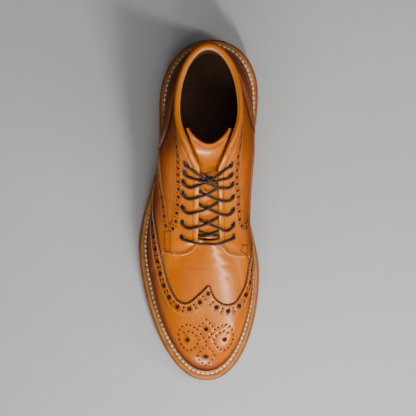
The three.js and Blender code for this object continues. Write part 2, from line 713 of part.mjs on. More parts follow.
const eyeletPlace = (side, k) => ({ side, ...EYELETS[side][k] });
const laceRise = seat + EYELET_RISE + LACE / 2 + GAP;
function laceStart(side, k) {
  const { at, out } = eyeletFrame(eyeletPlace(side, k));
  return at.addScaledVector(out, laceRise);
}
// A point over the facing's edge beside an eyelet, moved toward the throat by reach
function throatEdge(side, k, reach, rise) {
  const { at, out, up } = wallFrame(roundOf(side, EYELETS[side][k].way), 1);
  return at.addScaledVector(out, rise).addScaledVector(up, reach);
}
function laceBar() {
  const points = [
    laceStart("lateral", 0), throatEdge("lateral", 0, 0, laceRise), throatEdge("medial", 0, 0, laceRise),
    laceStart("medial", 0),
  ];
  return toManifold(cord(points, 3));
}
function strand(side, k, rise) {
  const other = side === "lateral" ? "medial" : "lateral";
  const points = [
    laceStart(side, k), throatEdge(side, k, 0, laceRise),
    throatEdge(side, k, CROSSING.reach, rise).lerp(
      throatEdge(other, k + 1, CROSSING.reach, rise), CROSSING.share,
    ),
    throatEdge(other, k + 1, LACE / 2 + 2 * GAP, LACE / 4),
  ];
  return toManifold(cord(points, 2));
}
const laceCrossing = (k) =>
  strand("lateral", k, LACE * CROSSING.lower).add(strand("medial", k, LACE * CROSSING.upper));
function laceKnot() {
  const middle = throatEdge("lateral", EYELET_PAIRS - 1, 0, laceRise)
    .lerp(throatEdge("medial", EYELET_PAIRS - 1, 0, laceRise), 0.5)
    .add(vec(0, 0, LACE / 2));
  const arm = (side) => [
    laceStart(side, EYELET_PAIRS - 1), throatEdge(side, EYELET_PAIRS - 1, 0, laceRise), middle,
  ];
  const bead = new THREE.SphereGeometry(LACE * KNOT, 10, 6).translate(...middle);
  const arms = ["lateral", "medial"].map((side) => toManifold(cord(arm(side), 3)));
  return toManifold(bead).add(arms[0]).add(arms[1]);
}

// A named mesh with a material of its own
function piece(group, name, geometry, finish) {
  const flat = bareGeometry(geometry).toNonIndexed();
  flat.computeVertexNormals();
  const mesh = new THREE.Mesh(flat, new THREE.MeshStandardMaterial(FINISHES[finish]));
  mesh.name = name;
  group.add(mesh);
}

// The sole unit, from the ground up
const boot = new THREE.Group();
const sole = new THREE.Group();
piece(sole, "outsole", layer(["edge"], ["edge", "step"], 0, OUTSOLE), "rubber");
piece(sole, "midsole", layer(["step"], ["step", "foot", "inner"], OUTSOLE + GAP, BED), "edge");
piece(sole, "welt", weltSolid(), "welt");
piece(sole, "insole", layer(["inner"], ["inner"], BED + GAP, BED + INSOLE), "insole");
piece(sole, "heel_top_piece", heelPiece(TOP_PIECE_INSET, 0, TOP_PIECE), "rubber");
const liftHeight = (HEEL_HEIGHT - TOP_PIECE) / HEEL_LIFTS;
for (let k = 0; k < HEEL_LIFTS; k++) {
  const low = TOP_PIECE + k * liftHeight;
  const lift = heelPiece(LIFT_INSET - LIFT_FLARE * k, low, low + liftHeight);
  piece(sole, `heel_lift_${k + 1}`, lift, "edge");
}

// The upper and its overlays
const leather = new THREE.Group();
const sides = ["lateral", "medial"];
const eyelets = sides.flatMap((side) => EYELETS[side].map((_, k) => eyeletPlace(side, k)));
const holes = eyelets.map(eyeletHole);
const punched = (solid) => holes.reduce((rest, hole) => rest.subtract(hole), solid);
const wall = toManifold(wallSolid(-WALL, 0, ROWS));
piece(leather, "upper", fromManifold(punched(wall)), "leather");
piece(leather, "wing_cap", fromManifold(wingCap()), "leather");
piece(leather, "heel_counter", fromManifold(heelCounter()), "leather");
for (const side of sides)
  piece(leather, `quarter_${side}`, fromManifold(punched(quarter(side))), "leather");
piece(leather, "back_strap", strapSolid(), "leather");
piece(leather, "collar_binding", bindingSolid(), "binding");
piece(leather, "tongue", tongueSolid(), "leather");

// Eyelets and lace
const lacing = new THREE.Group();
for (const eyelet of eyelets) {
  const ring = eyeletGeometry();
  const { at, turn } = eyeletFrame(eyelet);
  const number = EYELETS[eyelet.side].findIndex((e) => e.way === eyelet.way) + 1;
  const geometry = ring.applyQuaternion(turn).translate(...at);
  piece(lacing, `eyelet_${eyelet.side}_${number}`, geometry, "metal");
}
piece(lacing, "lace_bar", fromManifold(laceBar()), "lace");
for (let k = 1; k < EYELET_PAIRS - 1; k++)
  piece(lacing, `lace_crossing_${k}`, fromManifold(laceCrossing(k)), "lace");
piece(lacing, "lace_knot", fromManifold(laceKnot()), "lace");

boot.add(sole, leather, lacing);
// The outsole is the widest piece, so its middle is the boot's.
const reach = new THREE.Box3().setFromObject(sole.children[0]);
const centre = reach.getCenter(vec(0, 0, 0));
boot.position.set(-centre.x, -centre.y, 0);

export default boot;
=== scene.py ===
# %% [markdown]
# # A brogue boot
# This lesson dresses one tan leather boot, the right one of a pair.
# The frame brings its solids, which say how big everything is and where it lies.
# Each piece below is made over them, in metres, with its seams, holes and finish.

# %% The frame
import math

import bpy
import numpy as np
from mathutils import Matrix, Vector, geometry


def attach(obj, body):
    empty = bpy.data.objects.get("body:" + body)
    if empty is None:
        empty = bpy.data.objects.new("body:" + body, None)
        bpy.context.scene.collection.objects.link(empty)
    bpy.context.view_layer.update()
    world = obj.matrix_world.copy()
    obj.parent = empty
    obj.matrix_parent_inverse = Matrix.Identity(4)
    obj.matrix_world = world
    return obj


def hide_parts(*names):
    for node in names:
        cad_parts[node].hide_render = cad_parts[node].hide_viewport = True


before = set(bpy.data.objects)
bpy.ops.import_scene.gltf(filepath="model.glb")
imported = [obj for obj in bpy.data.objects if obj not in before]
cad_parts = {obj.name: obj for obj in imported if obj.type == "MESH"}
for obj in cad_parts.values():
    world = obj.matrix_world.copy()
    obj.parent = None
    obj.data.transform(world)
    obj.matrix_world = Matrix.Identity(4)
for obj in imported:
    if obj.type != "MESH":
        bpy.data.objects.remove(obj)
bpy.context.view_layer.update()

MM = 0.001

# %% [markdown]
# ## The camera
# The boot is seen from straight above with its toe down.
# A long lens from 1.8 m keeps the sole and the collar, which is nearer, in the right proportion.

# %% The camera
CAMERA_HEIGHT = 1.8
CAMERA_OVER = (8.33 * MM, 2.5 * MM)
CAMERA_LENS = 170.4

camera = bpy.data.objects.new("camera", bpy.data.cameras.new("camera"))
camera.data.lens = CAMERA_LENS
camera.data.sensor_width = 36
camera.location = (*CAMERA_OVER, CAMERA_HEIGHT)
bpy.context.collection.objects.link(camera)
bpy.context.scene.camera = camera
print("camera at", tuple(camera.location), "with a lens of", camera.data.lens)

# %% [markdown]
# ## The last
# A boot is built on a last, a solid foot that gives it its shape, and a script needs one as well.
# It could be sculpted, but a formula keeps every seam, hole and stitch on the same surface.
# The sole's outline comes first, as two half outlines between three widths on each side.

# %% The sole's outline
SOLE_LENGTH = 308 * MM
BALL_WIDTH = 110 * MM
HEEL_HEIGHT = 26 * MM
TOE_SPRING = 9 * MM
OUTLINE = {
    "lateral": dict(side=-1, ball=0.576, ball_at=-0.111, waist=0.4, waist_at=0.2,
                    heel=0.4, heel_at=0.302, toe_power=1.55, toe_round=2.1),
    "medial": dict(side=1, ball=0.4245, ball_at=-0.183, waist=0.323, waist_at=0.042,
                   heel=0.409, heel_at=0.339, toe_power=2, toe_round=2.15),
}
TOE_TIP = -0.0136
HEEL_TIP = 0.0245
HEEL_ROUND = 2.1
WAIST_FRONT = -0.052
WAIST_BACK = 0.205
TOE_ROLL = -0.2
TOE_ROLL_POWER = 1.8
BREAST = 0.252
EDGE_POINTS = 4001


def ease(t):
    t = np.clip(t, 0, 1)
    return t * t * (3 - 2 * t)


def mix(a, b, t):
    return a + (b - a) * t


def unit(a):
    return a / np.maximum(np.linalg.norm(a, axis=-1, keepdims=True), 1e-12)


def tread(y):
    """Height of the sole's underside above the ground."""
    waist = HEEL_HEIGHT * ease((y / SOLE_LENGTH - WAIST_FRONT) / (WAIST_BACK - WAIST_FRONT))
    roll = np.clip((TOE_ROLL - y / SOLE_LENGTH) / (0.5 + TOE_ROLL), 0, 1)
    return waist + TOE_SPRING * roll**TOE_ROLL_POWER


def sole_edge(half, y):
    """How far the sole reaches to one side at a place along it."""
    share = y / SOLE_LENGTH

    def reach(tip, width, t, power, roundness):
        curve = np.maximum(0, 1 - np.clip(t, 0, 1) ** power) ** (1 / roundness)
        return tip + half["side"] * (width - half["side"] * tip) * curve

    toe = reach(TOE_TIP, half["ball"], (half["ball_at"] - share) / (half["ball_at"] + 0.5),
                half["toe_power"], half["toe_round"])
    heel = reach(HEEL_TIP, half["heel"], (share - half["heel_at"]) / (0.5 - half["heel_at"]),
                 HEEL_ROUND, HEEL_ROUND)
    to_waist = (share - half["ball_at"]) / (half["waist_at"] - half["ball_at"])
    to_heel = (share - half["waist_at"]) / (half["heel_at"] - half["waist_at"])
    front = mix(half["ball"], half["waist"], ease(to_waist))
    back = mix(half["waist"], half["heel"], ease(to_heel))
    waist = half["side"] * np.where(share < half["waist_at"], front, back)
    edge = np.where(share < half["ball_at"], toe, np.where(share > half["heel_at"], heel, waist))
    return edge * BALL_WIDTH


def edge_run(half):
    """The sole's edge from heel back to toe tip, with the share of its run at each point."""
    y = SOLE_LENGTH / 2 * np.cos(np.linspace(0, np.pi, EDGE_POINTS))
    x = sole_edge(half, y)
    run = np.r_[0, np.cumsum(np.hypot(np.diff(x), np.diff(y)))]
    return run / run[-1], x, y


RUN = {name: edge_run(half) for name, half in OUTLINE.items()}
ACROSS = [RUN["lateral"][1].min(), RUN["medial"][1].max()]
SHIFT = -sum(ACROSS) / 2
print("sole edge from", ACROSS, "moved across by", SHIFT)

# %% [markdown]
# ## The wall
# The upper's wall is a surface with two directions.
# `u` goes round the boot: 0 at the back of the heel, then the outer side, 0.5 at the toe and the inner side.
# `v` climbs from the feather line, where the wall meets the sole (0), to the top line (1).
# A Bezier curve at each `u` gives the section, and its pulls come from a short table of stations.

# %% The wall's tables
FEATHER_INSET = 10 * MM
SHAFT_HEIGHT = 145 * MM
OUTSOLE = 5.5 * MM
MIDSOLE = 4.5 * MM
WALL = 2 * MM
OVERLAY = 1.2 * MM
GAP = 0.3 * MM
BED = OUTSOLE + MIDSOLE
STATION = ("way", "inset", "bulge", "rise", "flare", "drop")
SECTIONS = {
    "lateral": [(0.0, 0.96, 0.045, 0.32, -0.045, 0.4), (0.12, 0.96, 0.036, 0.33, -0.027, 0.36),
                (0.24, 1.0, 0.091, 0.36, 0.009, 0.3), (0.36, 1.02, 0.155, 0.4, 0.245, 0.14),
                (0.48, 1.04, 0.095, 0.46, 0.245, 0.09), (0.6, 1.12, 0.055, 0.52, 0.264, 0.12),
                (0.8, 1.12, 0.051, 0.66, 0.436, 0.38), (1.0, 1.12, 0.045, 0.78, 0.618, 0.5)],
    "medial": [(0.0, 0.96, 0.045, 0.32, -0.045, 0.4), (0.12, 0.96, 0.027, 0.33, -0.027, 0.36),
               (0.24, 0.88, 0.091, 0.36, 0.009, 0.3), (0.36, 0.88, 0.155, 0.4, 0.227, 0.14),
               (0.48, 0.92, 0.168, 0.46, 0.236, 0.09), (0.6, 1.0, 0.086, 0.52, 0.227, 0.12),
               (0.8, 1.08, 0.05, 0.66, 0.418, 0.38), (1.0, 1.12, 0.045, 0.78, 0.618, 0.5)],
}
TOP = dict(
    back=(0, 0.45, 1.028), side=(0.247, 0.279, 1.0), side_pull=(0.247, 0.214, 1.0),
    corner_pull=(0.145, 0.169, 1.083), corner=(0.078, 0.117, 0.883), facing_high=(0.082, 0.065, 0.71),
    facing_low=(0.087, 0, 0.621), throat=(0.091, -0.083, 0.51),
)
TOP_CENTRE = 0.0055
THROAT_SAG = (-0.005, -0.004)
SIDE_WAY, CORNER_WAY, THROAT_WAY = 0.22, 0.37, 0.6
SOFTEN, SOFTEN_FAR = 0.008, 0.06
print("stations on each side:", [len(rows) for rows in SECTIONS.values()])

# %% Round the boot
def is_lateral(u):
    return np.mod(u, 1) <= 0.5


def way_of(u):
    turn = np.mod(u, 1)
    return np.where(turn <= 0.5, 2 * turn, 2 - 2 * turn)


def by_side(u, lateral, medial):
    keep = is_lateral(u)
    return np.where(keep[..., None] if np.ndim(lateral) > np.ndim(u) else keep, lateral, medial)


def round_of(side, way):
    return np.asarray(way) / 2 if side == "lateral" else 1 - np.asarray(way) / 2


def outline(u):
    way = way_of(u)
    points = [np.stack([np.interp(way, share, x), np.interp(way, share, y)], -1)
              for share, x, y in (RUN["lateral"], RUN["medial"])]
    flat = by_side(u, *points)
    return np.concatenate([flat, np.zeros(flat.shape[:-1] + (1,))], -1)


def outward(u, step=0.002):
    run = unit(outline(u + step) - outline(u - step))
    return np.stack([run[..., 1], -run[..., 0], run[..., 2]], -1)


def station(u, column):
    """A smooth curve through one column of the stations, level at both ends."""
    def through(side):
        rows = np.array(SECTIONS[side])
        way, value = rows[:, 0], rows[:, STATION.index(column)]
        slope = np.zeros(len(rows))
        slope[1:-1] = (value[2:] - value[:-2]) / (way[2:] - way[:-2])
        k = np.clip(np.searchsorted(way, way_of(u), side="right") - 1, 0, len(rows) - 2)
        width = way[k + 1] - way[k]
        t = (way_of(u) - way[k]) / width
        rest = 1 - t
        return ((1 + 2 * t) * rest**2 * value[k] + t * rest**2 * width * slope[k]
                + t**2 * (3 - 2 * t) * value[k + 1] - t**2 * rest * width * slope[k + 1])
    return by_side(u, through("lateral"), through("medial"))


def bezier(a, b, c, d, t):
    t = np.asarray(t)[..., None]
    return (1 - t) ** 3 * a + 3 * t * (1 - t) ** 2 * b + 3 * t**2 * (1 - t) * c + t**3 * d


def between(a, b, c, d, t):
    """A smooth curve from b to c, with a before them and d after them."""
    return b + 0.5 * t * (c - a + t * (2 * a - 5 * b + 4 * c - d + t * (3 * (b - c) + d - a)))


print("the sole's edge a quarter of the way round:", outline(np.array([0.25])).round(4).tolist())

# %% The top line
SIZES = np.array([BALL_WIDTH, SOLE_LENGTH, SHAFT_HEIGHT])


def top_raw(u):
    """The collar, the facings and the throat, before their corners are softened."""
    way = way_of(u)
    at = {name: np.array(p) * SIZES for name, p in TOP.items()}
    angle = np.clip(way / SIDE_WAY, 0, 1) * np.pi / 2
    back = np.stack([at["side"][0] * np.sin(angle), mix(at["side"][1], at["back"][1], np.cos(angle)),
                     mix(at["side"][2], at["back"][2], np.cos(angle) ** 2)], -1)
    collar = bezier(at["side"], at["side_pull"], at["corner_pull"], at["corner"],
                    np.clip((way - SIDE_WAY) / (CORNER_WAY - SIDE_WAY), 0, 1))
    facing = bezier(at["corner"], at["facing_high"], at["facing_low"], at["throat"],
                    np.clip((way - CORNER_WAY) / (THROAT_WAY - CORNER_WAY), 0, 1))
    t = np.clip((way - THROAT_WAY) / (1 - THROAT_WAY), 0, 1)
    sag = np.sin(t * np.pi / 2)
    throat = np.stack([at["throat"][0] * (1 - t), at["throat"][1] + SOLE_LENGTH * THROAT_SAG[0] * sag,
                       at["throat"][2] + SHAFT_HEIGHT * THROAT_SAG[1] * sag], -1)
    at_back, at_collar, at_facing = ((way < end)[..., None] for end in (SIDE_WAY, CORNER_WAY, THROAT_WAY))
    p = np.where(at_back, back, np.where(at_collar, collar, np.where(at_facing, facing, throat)))
    p[..., 0] = np.where(is_lateral(u), -1, 1) * p[..., 0] + TOP_CENTRE * BALL_WIDTH
    return p


def top_line(u, reach, samples=7):
    shares = np.arange(-samples, samples + 1)
    weights = np.exp(-3 * (shares / (samples + 1)) ** 2)
    return sum(w * top_raw(u + reach * k / samples) for k, w in zip(shares, weights)) / weights.sum()


print("top line, before its corners are softened:", top_raw(np.array([0.0, 0.5])).round(4).tolist())

# %% The wall's surface
def feather(u):
    return FEATHER_INSET * station(u, "inset")


def sole_at(u, inset, rise):
    """A point some way in from the sole's edge, at some rise above the tread."""
    p = outline(u) - outward(u) * np.asarray(inset)[..., None]
    p[..., 2] = tread(p[..., 1]) + rise
    return p


def section_pulls(u):
    out = outward(u)
    foot = sole_at(u, feather(u), BED + GAP)
    far = top_line(u, SOFTEN_FAR)
    height = far[..., 2] - foot[..., 2]
    low = foot + out * (BALL_WIDTH * station(u, "bulge"))[..., None]
    low[..., 2] += height * station(u, "rise")
    high = far + out * (BALL_WIDTH * station(u, "flare"))[..., None]
    high[..., 2] -= height * station(u, "drop")
    return np.stack([foot, low, high, top_line(u, SOFTEN)], -2)


TABLE_STEPS = 1600
LEVEL_BELOW = 0.1
PULLS = section_pulls(np.arange(TABLE_STEPS) / TABLE_STEPS)
PULLS[..., 0] += SHIFT


def middle(u, v):
    """The wall's outer face. The pulls between two table rows follow a curve through four of them."""
    place = np.mod(u, 1) * TABLE_STEPS
    k = np.floor(place).astype(int)
    t = (place - k)[..., None, None]
    p = between(*(PULLS[(k + n) % TABLE_STEPS] for n in (-1, 0, 1, 2)), t)
    return bezier(*(p[..., n, :] for n in range(4)), v)


def normal(u, v, step=0.001):
    """The wall's outward direction, turned level near the foot line."""
    out = np.cross(middle(u + step, v) - middle(u - step, v), middle(u, v + step) - middle(u, v - step))
    out = unit(out)
    out[..., 2] *= np.clip(v / LEVEL_BELOW, 0, 1)
    return unit(out)


def wall(u, v, off=0.0):
    """A point at some distance outside the wall."""
    u, v, off = np.broadcast_arrays(np.asarray(u, float), np.asarray(v, float), np.asarray(off, float))
    return middle(u, v) + normal(u, v) * off[..., None]


print("top line from", wall(0.0, 1.0).round(4), "to", wall(0.5, 1.0).round(4))

# %% [markdown]
# ## Working on the wall
# A seam is drawn in `u` and `v`, but a thread's pitch and a hole's size are real lengths.
# `shift` moves a point of a drawing by millimetres on the leather, and `even` spaces points by millimetres.

# %% Drawing on the wall
def frame_at(path, step=0.0005):
    """Where a drawing's points lie, with the wall's own two steps and its outward direction there."""
    u, v = path[..., 0], path[..., 1]
    along = (wall(u + step, v) - wall(u - step, v)) / (2 * step)
    climb = (wall(u, v + step) - wall(u, v - step)) / (2 * step)
    return wall(u, v), along, climb, unit(np.cross(along, climb))


def upward(climb, out):
    """The direction of the climb, made square to the outward one."""
    return unit(np.cross(out, np.cross(climb, out)))


def to_chart(path, move):
    """The drawing's points after a move, in metres, along the wall."""
    _, along, climb, _ = frame_at(path)
    aa, ac, cc = (along * along).sum(-1), (along * climb).sum(-1), (climb * climb).sum(-1)
    ma, mc = (move * along).sum(-1), (move * climb).sum(-1)
    scale = np.maximum(aa * cc - ac * ac, 1e-12)
    return path + np.stack([(ma * cc - mc * ac) / scale, (mc * aa - ma * ac) / scale], -1)


def tangents(path, closed=False):
    """A drawing's points on the wall, with the directions along it, to its left and outward."""
    p, _, _, out = frame_at(path)
    run = unit(np.roll(p, -1, 0) - np.roll(p, 1, 0) if closed else np.gradient(p, axis=0))
    return p, run, unit(np.cross(out, run)), out


def shift(path, inward, closed=False):
    """The drawing moved to its left by some length, seen from outside the boot."""
    _, _, left, _ = tangents(path, closed)
    return to_chart(path, left * np.reshape(inward, (-1, 1)))


def even(path, pitch, closed=False):
    """Points along a drawing, evenly spaced on the wall."""
    path = np.vstack([path, path[:1]]) if closed else path
    p = wall(path[:, 0], path[:, 1])
    run = np.r_[0, np.cumsum(np.linalg.norm(np.diff(p, axis=0), axis=1))]
    count = max(2, int(round(run[-1] / pitch)) + 1)
    at = np.linspace(0, run[-1], count)
    found = np.stack([np.interp(at, run, path[:, k]) for k in (0, 1)], -1)
    return found[:-1] if closed else found


def smooth_line(points, steps=10):
    """A curve through some points, of a drawing or in space."""
    p = np.array(points, float)
    p = np.vstack([2 * p[0] - p[1], p, 2 * p[-1] - p[-2]])
    t = np.arange(steps)[:, None] / steps
    parts = [between(*four, t) for four in zip(p, p[1:], p[2:], p[3:])]
    return np.vstack([*parts, p[-2:-1]])


def on_side(side, points, way=0.0):
    """A side's table, whose first number is 0 at the heel and 1 at the toe, as a drawing."""
    p = np.array(points, float)
    return np.stack([round_of(side, p[:, 0] + way), p[:, 1]], -1)


girth = even(np.linspace((0.0, 0.5), (1.0, 0.5), 400), MM)
print("half way between foot and top line, the wall is about", len(girth) - 1, "mm round")

# %% [markdown]
# ## Finishes
# Every finish is made of nodes. Their maths reads best as Python, so a small class wraps a socket.
# Its operators add Math nodes, and one method adds any other node.

# %% A socket with operators
class Wire:
    """One socket of a material, with its maths as operators."""

    def __init__(self, tree, socket=None):
        self.tree, self.socket = tree, socket

    def node(self, kind, settings=None, sockets=None, out=0):
        made = self.tree.nodes.new(kind)
        for key, value in (settings or {}).items():
            if key == "stops":
                marks = made.color_ramp.elements
                for spare in list(marks)[1:]:
                    marks.remove(spare)
                marks[0].position, marks[0].color = value[0]
                for place, colour in value[1:]:
                    marks.new(place).color = colour
            else:
                setattr(made, key, value)
        for key, value in (sockets or {}).items():
            if isinstance(value, Wire):
                self.tree.links.new(value.socket, made.inputs[key])
            else:
                made.inputs[key].default_value = value
        return Wire(self.tree, made.outputs[out])

    def math(self, operation, *values):
        return self.node("ShaderNodeMath", {"operation": operation}, dict(enumerate(values)))

    def __add__(self, other):
        return self.math("ADD", self, other)

    def __sub__(self, other):
        return self.math("SUBTRACT", self, other)

    def __rsub__(self, other):
        return self.math("SUBTRACT", other, self)

    def __mul__(self, other):
        return self.math("MULTIPLY", self, other)

    __radd__, __rmul__ = __add__, __mul__

    def limit(self, low, high):
        """0 below low, 1 above high and a soft step between."""
        settings = {"interpolation_type": "SMOOTHSTEP"}
        return self.node("ShaderNodeMapRange", settings, {"Value": self, "From Min": low, "From Max": high})

    def blend(self, first, second):
        """The first colour where this is 0 and the second where it is 1."""
        sockets = {0: self, 6: first, 7: second}
        return self.node("ShaderNodeMix", {"data_type": "RGBA"}, sockets, out=2)


print("a wire's methods:", [name for name in vars(Wire) if not name.startswith("__")])

# %% Noise, bump and finish
DULL_SHARE = 0.9


def noise(wire, scale, detail=3.0, rough=0.5, stretch=None):
    """A cloudy pattern, drawn out along an axis whose stretch is small."""
    place = wire.node("ShaderNodeTexCoord", out="Object")
    if stretch:
        place = wire.node("ShaderNodeMapping", {}, {"Vector": place, "Scale": stretch})
    sockets = {"Vector": place, "Scale": scale, "Detail": detail, "Roughness": rough}
    return wire.node("ShaderNodeTexNoise", {}, sockets)


def attribute(wire, name):
    return wire.node("ShaderNodeAttribute", {"attribute_name": name}, out="Fac")


def finish(name, build, dull=None, **constants):
    """A new material. build gives the linked sockets, and constants are set on the shader itself.

    Where the point attribute named by dull is 1, most of the sheen gives way to a plain surface.
    """
    material = bpy.data.materials.new(name)
    material.use_nodes = True
    tree = material.node_tree
    shader = tree.nodes["Principled BSDF"]
    for key, value in constants.items():
        shader.inputs[key.replace("_", " ")].default_value = value
    wires = build(Wire(tree))
    for key, wire in wires.items():
        tree.links.new(wire.socket, shader.inputs[key])
    if dull is not None:
        matte = tree.nodes.new("ShaderNodeBsdfPrincipled")
        matte.inputs["Specular IOR Level"].default_value = 0
        for key, wire in wires.items():
            tree.links.new(wire.socket, matte.inputs[key])
        both = tree.nodes.new("ShaderNodeMixShader")
        tree.links.new((attribute(Wire(tree), dull) * DULL_SHARE).socket, both.inputs[0])
        tree.links.new(shader.outputs[0], both.inputs[1])
        tree.links.new(matte.outputs[0], both.inputs[2])
        tree.links.new(both.outputs[0], tree.nodes["Material Output"].inputs["Surface"])
    return material


def bump(wire, height, distance, strength=1.0):
    return wire.node("ShaderNodeBump", {}, {"Height": height, "Distance": distance, "Strength": strength})


print("where it is dull, a finish keeps", round(1 - DULL_SHARE, 3), "of its sheen")

# %% [markdown]
# ## The leather's finish
# Waxed tan calf: an orange tan that a hand burnished darker in the seams and at toe and heel; near the welt
# it is darker too, partly burnished and partly painted shade where the upper meets the welt.
# The points of each leather piece carry a number that says how dark they are burnished and painted: painted
# shade on the lower sides, most on the outer side, and in and round the punched holes.
# Another one, `steep`, is 1 on upright walls. They are painted a little darker, as painted shade, and lose
# their sheen, because the pale floor would show in it as a grey haze.
# Fine grain, pores and faint streaks of dye keep the leather from looking like plastic.

# %% Leather
TAN = (0.5, 0.105, 0.0, 1)
TAN_LIGHT = (0.66, 0.165, 0.001, 1)
TAN_DEEP = (0.19, 0.03, 0.0, 1)
TAN_DARK = (0.035, 0.004, 0.0, 1)
WARM_SHEEN = (1.0, 0.75, 0.5, 1)
# how much darker upright walls are painted: painted shade
STEEP_PAINTED_SHADE = 0.34
CLOUDS, STREAKS, GRAIN, PORES = 38, 90, 1500, 900


def leather_nodes(wire):
    # painted shade: upright walls darker still
    burnish = attribute(wire, "burnish") + attribute(wire, "steep") * STEEP_PAINTED_SHADE
    slow = noise(wire, CLOUDS, 3, 0.55)
    streak = noise(wire, STREAKS, 4, 0.6, (1, 0.25, 1))
    grain = noise(wire, GRAIN, 2, 0.5)
    place = wire.node("ShaderNodeTexCoord", out="Object")
    pores = wire.node("ShaderNodeTexVoronoi", {}, {"Vector": place, "Scale": PORES})
    tone = (slow * 0.7 + streak * 0.3).limit(0.3, 0.72)
    light = tone.blend(TAN, TAN_LIGHT)
    deep = (burnish + (slow - 0.5) * 0.25).limit(0.05, 0.75).blend(light, TAN_DEEP)
    colour = burnish.limit(0.6, 1.25).blend(deep, TAN_DARK)
    height = grain * 0.5 + pores.limit(0.0, 0.5) * 0.5 + slow * 1.5
    rough = 0.19 + streak * 0.1 + grain * 0.05
    return {"Base Color": colour, "Roughness": rough, "Normal": bump(wire, height, 0.05 * MM, 0.5)}


leather = finish("waxed tan calf", leather_nodes, dull="steep", Coat_Weight=0.04, Coat_Roughness=0.12,
                 Specular_IOR_Level=0.45, Specular_Tint=WARM_SHEEN)
print("made", leather.name, "from", len(leather.node_tree.nodes), "nodes")

# %% Edges, lining and thread
def plain(name, light, dark, scale, rough, depth=0.1 * MM, **constants):
    """A finish of two tones of a noise, with its bump."""
    def nodes(wire):
        cloud = noise(wire, scale, 4, 0.6)
        fine = noise(wire, scale * 6, 2, 0.5)
        tone = (cloud * 0.7 + fine * 0.3).limit(0.3, 0.7)
        return {"Base Color": tone.blend((*dark, 1), (*light, 1)), "Roughness": rough + fine * 0.15,
                "Normal": bump(wire, cloud + fine * 0.5, depth, 0.7)}
    return finish(name, nodes, **constants)


# a pale natural tone, partly a painted highlight along the edges of the facings and tabs
cut_edge_and_highlight = plain("cut edge, natural", (0.85, 0.42, 0.1), (0.66, 0.28, 0.05), 400, 0.4)
# inked edges, made very dark so that they also stand for the shade in the pinked notches: partly painted
# shade
inked_edge_and_shade = plain("cut edge, inked", (0.1, 0.022, 0.003), (0.04, 0.008, 0.002), 500, 0.4)
# the binding's pale tone, partly a painted highlight along the collar's inner edge
collar_edge_and_highlight = plain("collar binding, handled", (0.7, 0.31, 0.06), (0.5, 0.19, 0.03), 400, 0.4)
quarter_edge = plain("cut edge, burnished", (0.3, 0.07, 0.008), (0.16, 0.035, 0.005), 500, 0.4)
# the dished floor of a punched hole is painted dark: painted shade inside the hole
hole_painted_shade = plain("inside of a punched hole", (0.1, 0.025, 0.004), (0.05, 0.012, 0.002), 500, 0.8,
                  Specular_IOR_Level=0.1)
# dark brown: painted shade inside the shaft, where little light reaches
lining_in_painted_shade = plain("lining leather", (0.11, 0.04, 0.012), (0.06, 0.02, 0.006), 120, 0.55)
thread_light = plain("waxed thread, beige", (0.66, 0.4, 0.18), (0.42, 0.22, 0.08), 900, 0.5)
thread_tan = plain("waxed thread, tan", (0.4, 0.17, 0.04), (0.2, 0.07, 0.015), 900, 0.5)
thread_dark = plain("waxed thread, brown", (0.14, 0.032, 0.008), (0.06, 0.014, 0.004), 900, 0.5)
thread_cream = plain("welt thread, cream", (0.95, 0.88, 0.74), (0.78, 0.66, 0.48), 900, 0.5)
print("finishes:", len(bpy.data.materials))

# %% [markdown]
# ## Meshes from numbers
# A piece is a list of points and a list of faces.
# One helper turns them into an object, faces outward, smooth where the surface is and sharp at its corners.

# %% Making a piece
FLAT_FROM = 0.76
STEEP_TO = 0.36


def read(items, key, kind=float):
    """A value of three numbers from each point or triangle of a mesh."""
    values = np.empty(len(items) * 3, kind)
    items.foreach_get(key, values)
    return values.reshape(-1, 3)


def tag_points(mesh, key, values):
    data = mesh.attributes.new(key, "FLOAT", "POINT").data
    data.foreach_set("value", np.asarray(values, np.float32).ravel())


def mark_steep(mesh):
    """Gives each point the number the leather loses its sheen by and is painted darker by, as painted shade:
    1 on an upright wall, 0 on a flat one.
    """
    flatness = np.abs(read(mesh.vertices, "normal")[:, 2])
    tag_points(mesh, "steep", np.clip((FLAT_FROM - flatness) / (FLAT_FROM - STEEP_TO), 0, 1))


def turn_outward(mesh):
    """Flips the whole mesh if its volume is negative."""
    mesh.calc_loop_triangles()
    corners = read(mesh.loop_triangles, "vertices", np.int32)
    a, b, c = read(mesh.vertices, "co")[corners].transpose(1, 0, 2)
    if (a * np.cross(b, c)).sum() < 0:
        mesh.flip_normals()


def make_piece(name, points, faces, finishes, stands_for=(), kinds=None, tags=None, sharp=40):
    """A piece from its points and faces. kinds says which finish each face has."""
    mesh = bpy.data.meshes.new(name)
    mesh.from_pydata(np.reshape(points, (-1, 3)).tolist(), [], [list(map(int, f)) for f in faces])
    piece = bpy.data.objects.new(name, mesh)
    bpy.context.collection.objects.link(piece)
    for one in finishes if isinstance(finishes, list) else [finishes]:
        mesh.materials.append(one)
    if kinds is not None:
        mesh.polygons.foreach_set("material_index", np.asarray(kinds, np.int32))
    for key, values in (tags or {}).items():
        tag_points(mesh, key, values)
    mesh.polygons.foreach_set("use_smooth", np.ones(len(mesh.polygons), bool))
    turn_outward(mesh)
    if "burnish" in mesh.attributes:
        mark_steep(mesh)
    mesh.set_sharp_from_angle(angle=math.radians(sharp))
    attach(piece, "root")
    if stands_for:
        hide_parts(*stands_for)
    print(name, "has", len(mesh.vertices), "points and", len(mesh.polygons), "faces")
    return piece


